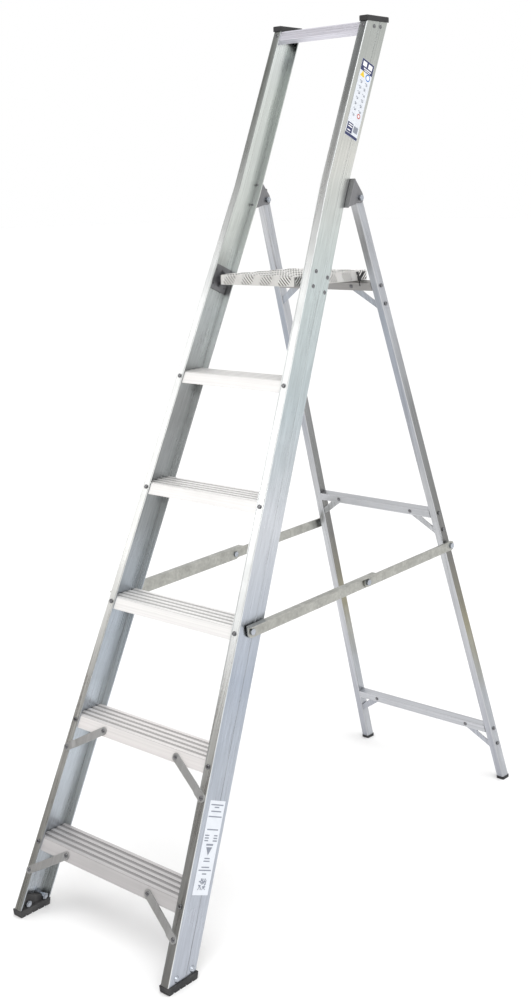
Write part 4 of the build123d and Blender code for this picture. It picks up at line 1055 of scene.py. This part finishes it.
# ------------------------------------------------------------------ dressing
@dataclass
class Wardrobe:
    """Which finish each CAD node wears."""

    # Stiles: mill finish with painted light and shade over the height, on sides and faces; the
    # left stile has its own painted light and shade.
    stile: Aluminium = Aluminium(
        "stile_finish_and_painted_light",
        (0.78, 0.80, 0.80),
        Grain.STILE,
        roughness=0.27,
        streak=0.15,
        side_painted_light=(
            (0.10, 0.60, 0.62, 0.69),
            (0.38, 0.56, 0.59, 0.66),
            (0.52, 0.52, 0.56, 0.65),
            (0.80, 0.80, 0.81, 0.86),
            (1.03, 0.66, 0.72, 0.75),
            (1.26, 0.75, 0.81, 0.81),
            (1.40, 0.80, 0.84, 0.82),
            (1.55, 0.90, 0.88, 0.83),
            (1.81, 0.62, 0.63, 0.60),
        ),
        face_painted_light=(
            (0.05, 0.42, 0.41, 0.40),
            (0.20, 0.60, 0.59, 0.58),
            (0.40, 0.90, 0.89, 0.87),
            (0.60, 1.0, 1.0, 1.0),
            (1.55, 1.0, 1.0, 1.0),
            (1.76, 0.52, 0.54, 0.55),
        ),
    )
    left_stile: Aluminium = Aluminium(
        "left_stile_mill_finish",
        (0.78, 0.80, 0.80),
        Grain.STILE,
        roughness=0.27,
        streak=0.15,
        side_painted_light=(
            (0.10, 0.66, 0.69, 0.74),
            (0.30, 0.66, 0.70, 0.76),
            (0.57, 0.50, 0.54, 0.60),
            (0.80, 0.40, 0.41, 0.42),
            (1.03, 0.38, 0.38, 0.38),
            (1.22, 0.62, 0.64, 0.64),
            (1.40, 0.84, 0.86, 0.82),
            (1.70, 0.92, 0.94, 0.90),
            (1.80, 0.98, 1.0, 0.98),
        ),
        face_painted_light=(
            (0.05, 0.52, 0.51, 0.48),
            (0.35, 0.95, 0.93, 0.90),
            (1.30, 1.0, 1.0, 1.0),
            (1.40, 0.80, 0.80, 0.80),
            (1.76, 0.55, 0.57, 0.55),
        ),
    )
    tread: Aluminium = Aluminium(
        "tread_extrusion",
        (0.93, 0.92, 0.91),
        Grain.ACROSS,
        roughness=0.46,
        streak=0.09,
        cloud=0.06,
        painted_corner_shade=0.35,
        metal=0.45,
        ribs_from=0.153,
        # Painted shade: the lowest treads are darker.
        face_painted_light=(
            (0.13, 0.60, 0.59, 0.60),
            (0.37, 0.88, 0.86, 0.86),
            (0.62, 1.0, 1.0, 1.0),
            (1.10, 1.0, 1.0, 1.0),
        ),
    )
    rail: Aluminium = Aluminium(
        "rail_extrusion", (0.74, 0.73, 0.80), Grain.ACROSS, roughness=0.42, metal=0.6
    )
    leg: Aluminium = Aluminium(
        "leg_tube",
        (0.56, 0.57, 0.59),
        Grain.LEG,
        roughness=0.30,
        streak=0.20,
        rub=0.25,
        # Painted light and shade on the legs' sides and faces, changing with height.
        side_painted_light=(
            (0.09, 0.85, 0.86, 0.88),
            (0.23, 0.76, 0.78, 0.80),
            (0.42, 0.54, 0.50, 0.36),
            (0.61, 0.35, 0.34, 0.32),
            (0.80, 0.44, 0.44, 0.42),
            (0.99, 0.53, 0.53, 0.52),
            (1.18, 0.90, 0.91, 0.93),
        ),
        face_painted_light=(
            (0.10, 0.84, 0.85, 0.90),
            (0.35, 1.0, 1.0, 1.02),
            (0.60, 1.0, 1.0, 1.0),
            (0.80, 0.82, 0.82, 0.82),
            (0.99, 0.68, 0.70, 0.76),
            (1.20, 0.66, 0.70, 0.76),
            (1.38, 0.90, 0.90, 0.90),
        ),
    )
    bar: Aluminium = Aluminium(
        "crossbar_angle",
        (0.60, 0.61, 0.62),
        Grain.ACROSS,
        roughness=0.34,
        streak=0.16,
        # Painted shade: the crossbar's faces darken towards the top.
        face_painted_light=(
            (0.20, 0.95, 0.95, 0.98),
            (0.75, 0.88, 0.88, 0.90),
            (1.20, 0.58, 0.56, 0.54),
        ),
    )
    brace: Aluminium = Aluminium(
        "brace_strip", (0.50, 0.50, 0.50), Grain.STILE, roughness=0.40, streak=0.12
    )
    # Brackets: the frame's aluminium painted dark, painted shade.
    bracket: Aluminium = Aluminium(
        "bracket_sheet_painted_shade", (0.27, 0.27, 0.28), Grain.STILE, roughness=0.40, streak=0.20, rub=0.3
    )
    # Deck sheet: painted shade from ambient occlusion darkens it close round the bars.
    deck: Aluminium = Aluminium(
        "deck_sheet",
        (0.72, 0.71, 0.69),
        Grain.LEVEL,
        roughness=0.40,
        streak=0.10,
        painted_corner_shade=0.40,
        painted_shade_reach=0.003,
        metal=0.55,
    )
    # Raised bars: painted much lighter than the deck sheet they stand on, a painted highlight
    # on their tops.
    raised: Aluminium = Aluminium(
        "deck_bar_painted_highlight",
        (0.94, 0.93, 0.91),
        Grain.LEVEL,
        roughness=0.48,
        streak=0.05,
        painted_corner_shade=0.0,
        edge=0.0,
        metal=0.30,
    )
    # Rivets: strong painted shade from ambient occlusion darkens the ring round each head.
    rivet: Aluminium = Aluminium(
        "rivet_metal",
        (0.20, 0.20, 0.21),
        Grain.LEVEL,
        roughness=0.20,
        streak=0.10,
        painted_corner_shade=0.80,
        painted_shade_reach=0.003,
        edge=0.0002,
    )
    bolt: ZincSteel = ZincSteel("bright_zinc", (0.46, 0.49, 0.54), 500.0, 0.26, 0.8)
    stay: ZincSteel = ZincSteel("galvanised_strip", (0.44, 0.44, 0.41), 180.0, 0.40, 0.5)
    # Dark pads between the deck's bars: painted shadow.
    painted_shade: BlackMoulding = BlackMoulding(
        "painted_bar_shadow_pads", (0.022, 0.016, 0.011), 0.85, 1400.0, 0.00006, 0.15, edge=0.0
    )
    cap: BlackMoulding = BlackMoulding(
        "cap_plastic", (0.012, 0.012, 0.014), 0.52, 900.0, dust=0.10
    )
    foot: BlackMoulding = BlackMoulding(
        "foot_rubber", (0.020, 0.020, 0.022), 0.72, 500.0, 0.00018, 0.35
    )
    tie: BlackMoulding = BlackMoulding(
        "tie_nylon", (0.012, 0.012, 0.014), 0.34, 1500.0, 0.00004, 0.05
    )
    film: PrintedFilm = PrintedFilm("label_film_white", (0.70, 0.73, 0.78))

    def finish_for(self, node: str) -> Any:
        """Choose the finish that suits a node's name.

        Args:
            node: the node's name.

        Returns:
            The finish.

        Raises:
            KeyError: if no rule names it.
        """
        rules: Iterable[tuple[tuple[str, ...], Any]] = (
            (("_label",), self.film),
            (("cable_tie",), self.tie),
            (("stay_rivet", "knee_bolt", "bolts", "nuts", "deck_pins"), self.bolt),
            (("rivets",), self.rivet),
            (("_stay_",), self.stay),
            (("_rear_foot", "left_foot", "right_foot"), self.foot),
            (("_cap", "plugs"), self.cap),
            (("tread_",), self.tread),
            (("platform_deck",), self.deck),
            (("top_rail",), self.rail),
            (("knee_brace",), self.brace),
            (("corner_brace",), self.leg),
            (("bracket",), self.bracket),
            (("crossbar",), self.bar),
            (("rear_leg",), self.leg),
            (("left_stile",), self.left_stile),
            (("stile",), self.stile),
        )
        for words, finish in rules:
            if any(word in node for word in words):
                return finish
        raise KeyError(node)

    def dress(self, nodes: dict[str, bpy.types.Object]) -> None:
        """Give every CAD node its finish.

        Args:
            nodes: CAD objects by name.
        """
        made: dict[str, bpy.types.Material] = {}
        for name, node in nodes.items():
            finish = self.finish_for(name)
            if finish.name not in made:
                made[finish.name] = finish.build()
            for place in node.material_slots:
                place.material = made[finish.name]
            log.info("node %s wears %s", name, finish.name)


# ------------------------------------------------------------------ studio
@dataclass(frozen=True)
class Softbox:
    """One area light."""

    name: str
    place: tuple[float, float, float]
    size: tuple[float, float]
    power: float
    colour: tuple[float, float, float] = (1.0, 1.0, 1.0)


@dataclass
class Studio:
    """Pale floor, soft lights and the camera."""

    aim_height: float = 0.95
    floor_size: float = 60.0
    camera_place: tuple[float, float, float] = (1.9799, -2.2562, 1.4770)
    yaw: float = 0.7191
    pitch: float = -0.0803
    roll: float = -0.0237
    focal: float = 1.3492
    shift: tuple[float, float] = (-0.0099, -0.1947)
    sun_strength: float = 0.9
    sun_spread: float = 0.7
    sun_way: tuple[float, float, float] = (-0.35, 0.30, -1.0)
    lights: tuple[Softbox, ...] = (
        Softbox("right_softbox", (4.5, 0.6, 2.6), (2.0, 3.0), 18.0),
        Softbox("top_softbox", (0.2, -1.6, 4.6), (2.0, 2.0), 14.0),
        Softbox("front_softbox", (-2.4, -2.7, 2.5), (2.0, 2.0), 23.0),
        Softbox("corner_light", (2.6, -2.9, 2.6), (0.8, 0.8), 7.0),
    )

    def build_floor(self) -> None:
        """Lay the floor, which isn't part of the object."""
        shape = bmesh.new()
        bmesh.ops.create_grid(shape, x_segments=1, y_segments=1, size=self.floor_size)
        mesh = bpy.data.meshes.new("studio_floor")
        shape.to_mesh(mesh)
        shape.free()
        floor = bpy.data.objects.new("studio_floor", mesh)
        bpy.context.scene.collection.objects.link(floor)
        bench = NodeBench("studio_floor_paint")
        bench.shader.inputs["Base Color"].default_value = (0.93, 0.93, 0.93, 1.0)
        bench.shader.inputs["Roughness"].default_value = 0.9
        mesh.materials.append(bench.material)

    def build_world(self) -> None:
        """Fill the surroundings with even white light, greyer on the climbing side."""
        world = bpy.data.worlds.new("studio_world")
        bpy.context.scene.world = world
        world.use_nodes = True
        tree = world.node_tree
        back = tree.nodes["Background"]
        where = tree.nodes.new("ShaderNodeTexCoord")
        dot = tree.nodes.new("ShaderNodeVectorMath")
        dot.operation = "DOT_PRODUCT"
        dot.inputs[1].default_value = (-0.60, -0.79, 0.12)
        tree.links.new(where.outputs["Generated"], dot.inputs[0])
        ramp = tree.nodes.new("ShaderNodeValToRGB")
        ramp.color_ramp.elements[0].position = 0.45
        ramp.color_ramp.elements[0].color = (1.0, 1.0, 1.0, 1.0)
        ramp.color_ramp.elements[1].position = 0.90
        ramp.color_ramp.elements[1].color = (0.19, 0.175, 0.16, 1.0)
        tree.links.new(dot.outputs["Value"], ramp.inputs[0])
        tree.links.new(ramp.outputs[0], back.inputs[0])
        back.inputs[1].default_value = 1.0

    def build_lights(self) -> None:
        """Hang the softboxes, aimed at the ladder's middle."""
        sky = bpy.data.lights.new("overhead_bank", "SUN")
        sky.energy = self.sun_strength
        sky.angle = self.sun_spread
        bank = bpy.data.objects.new("overhead_bank", sky)
        bank.rotation_mode = "QUATERNION"
        bank.rotation_quaternion = Vector(self.sun_way).to_track_quat("-Z", "Y")
        bpy.context.scene.collection.objects.link(bank)
        for box in self.lights:
            data = bpy.data.lights.new(box.name, "AREA")
            data.shape = "RECTANGLE"
            data.size, data.size_y = box.size
            data.energy = box.power
            data.color = box.colour
            light = bpy.data.objects.new(box.name, data)
            aim = Vector((0, 0, self.aim_height)) - Vector(box.place)
            light.location = box.place
            light.rotation_mode = "QUATERNION"
            light.rotation_quaternion = aim.to_track_quat("-Z", "Y")
            bpy.context.scene.collection.objects.link(light)

    def build_camera(self) -> None:
        """Stand the camera at the front right, level with the platform."""
        data = bpy.data.cameras.new("studio_camera")
        data.sensor_width = 36.0
        data.lens = self.focal * data.sensor_width
        data.shift_x, data.shift_y = self.shift
        data.clip_end = 200.0
        camera = bpy.data.objects.new("studio_camera", data)
        ahead = Vector(
            (
                -math.sin(self.yaw) * math.cos(self.pitch),
                math.cos(self.yaw) * math.cos(self.pitch),
                math.sin(self.pitch),
            )
        )
        right = Vector((math.cos(self.yaw), math.sin(self.yaw), 0.0))
        up = right.cross(ahead)
        tilted = right * math.cos(self.roll) + up * math.sin(self.roll)
        raised = up * math.cos(self.roll) - right * math.sin(self.roll)
        turn = Matrix((tilted, raised, -ahead)).transposed().to_4x4()
        turn.translation = Vector(self.camera_place)
        camera.matrix_world = turn
        bpy.context.scene.collection.objects.link(camera)
        bpy.context.scene.camera = camera

    def build(self) -> None:
        """Set the whole studio up."""
        self.build_floor()
        self.build_world()
        self.build_lights()
        self.build_camera()
        bpy.context.scene.view_settings.view_transform = "Standard"


def main() -> None:
    """Build the finished ladder around the CAD frame."""
    logging.basicConfig(level=logging.INFO, format="%(message)s")
    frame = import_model()
    Studio().build()
    wardrobe = Wardrobe()
    wardrobe.dress(frame["nodes"])
    TreadPlateDeck().build(wardrobe.raised.build(), wardrobe.painted_shade.build())
    metal = wardrobe.rivet.build()
    for name, node in frame["nodes"].items():
        if name.endswith("_rivets"):
            body = "rear_frame" if name in REAR_RIVETS else "front_frame"
            PopRivets(name, body).build(node, metal)
    inks = {ink: PrintedFilm("ink_" + ink.name.lower(), ink.value).build() for ink in Ink}
    PrintedLabel("guidance_label", guidance_marks()).build(
        frame["nodes"]["guidance_label"], inks
    )
    PrintedLabel("rating_label", rating_marks()).build(
        frame["nodes"]["rating_label"], inks
    )


if __name__ == "__main__":
    main()
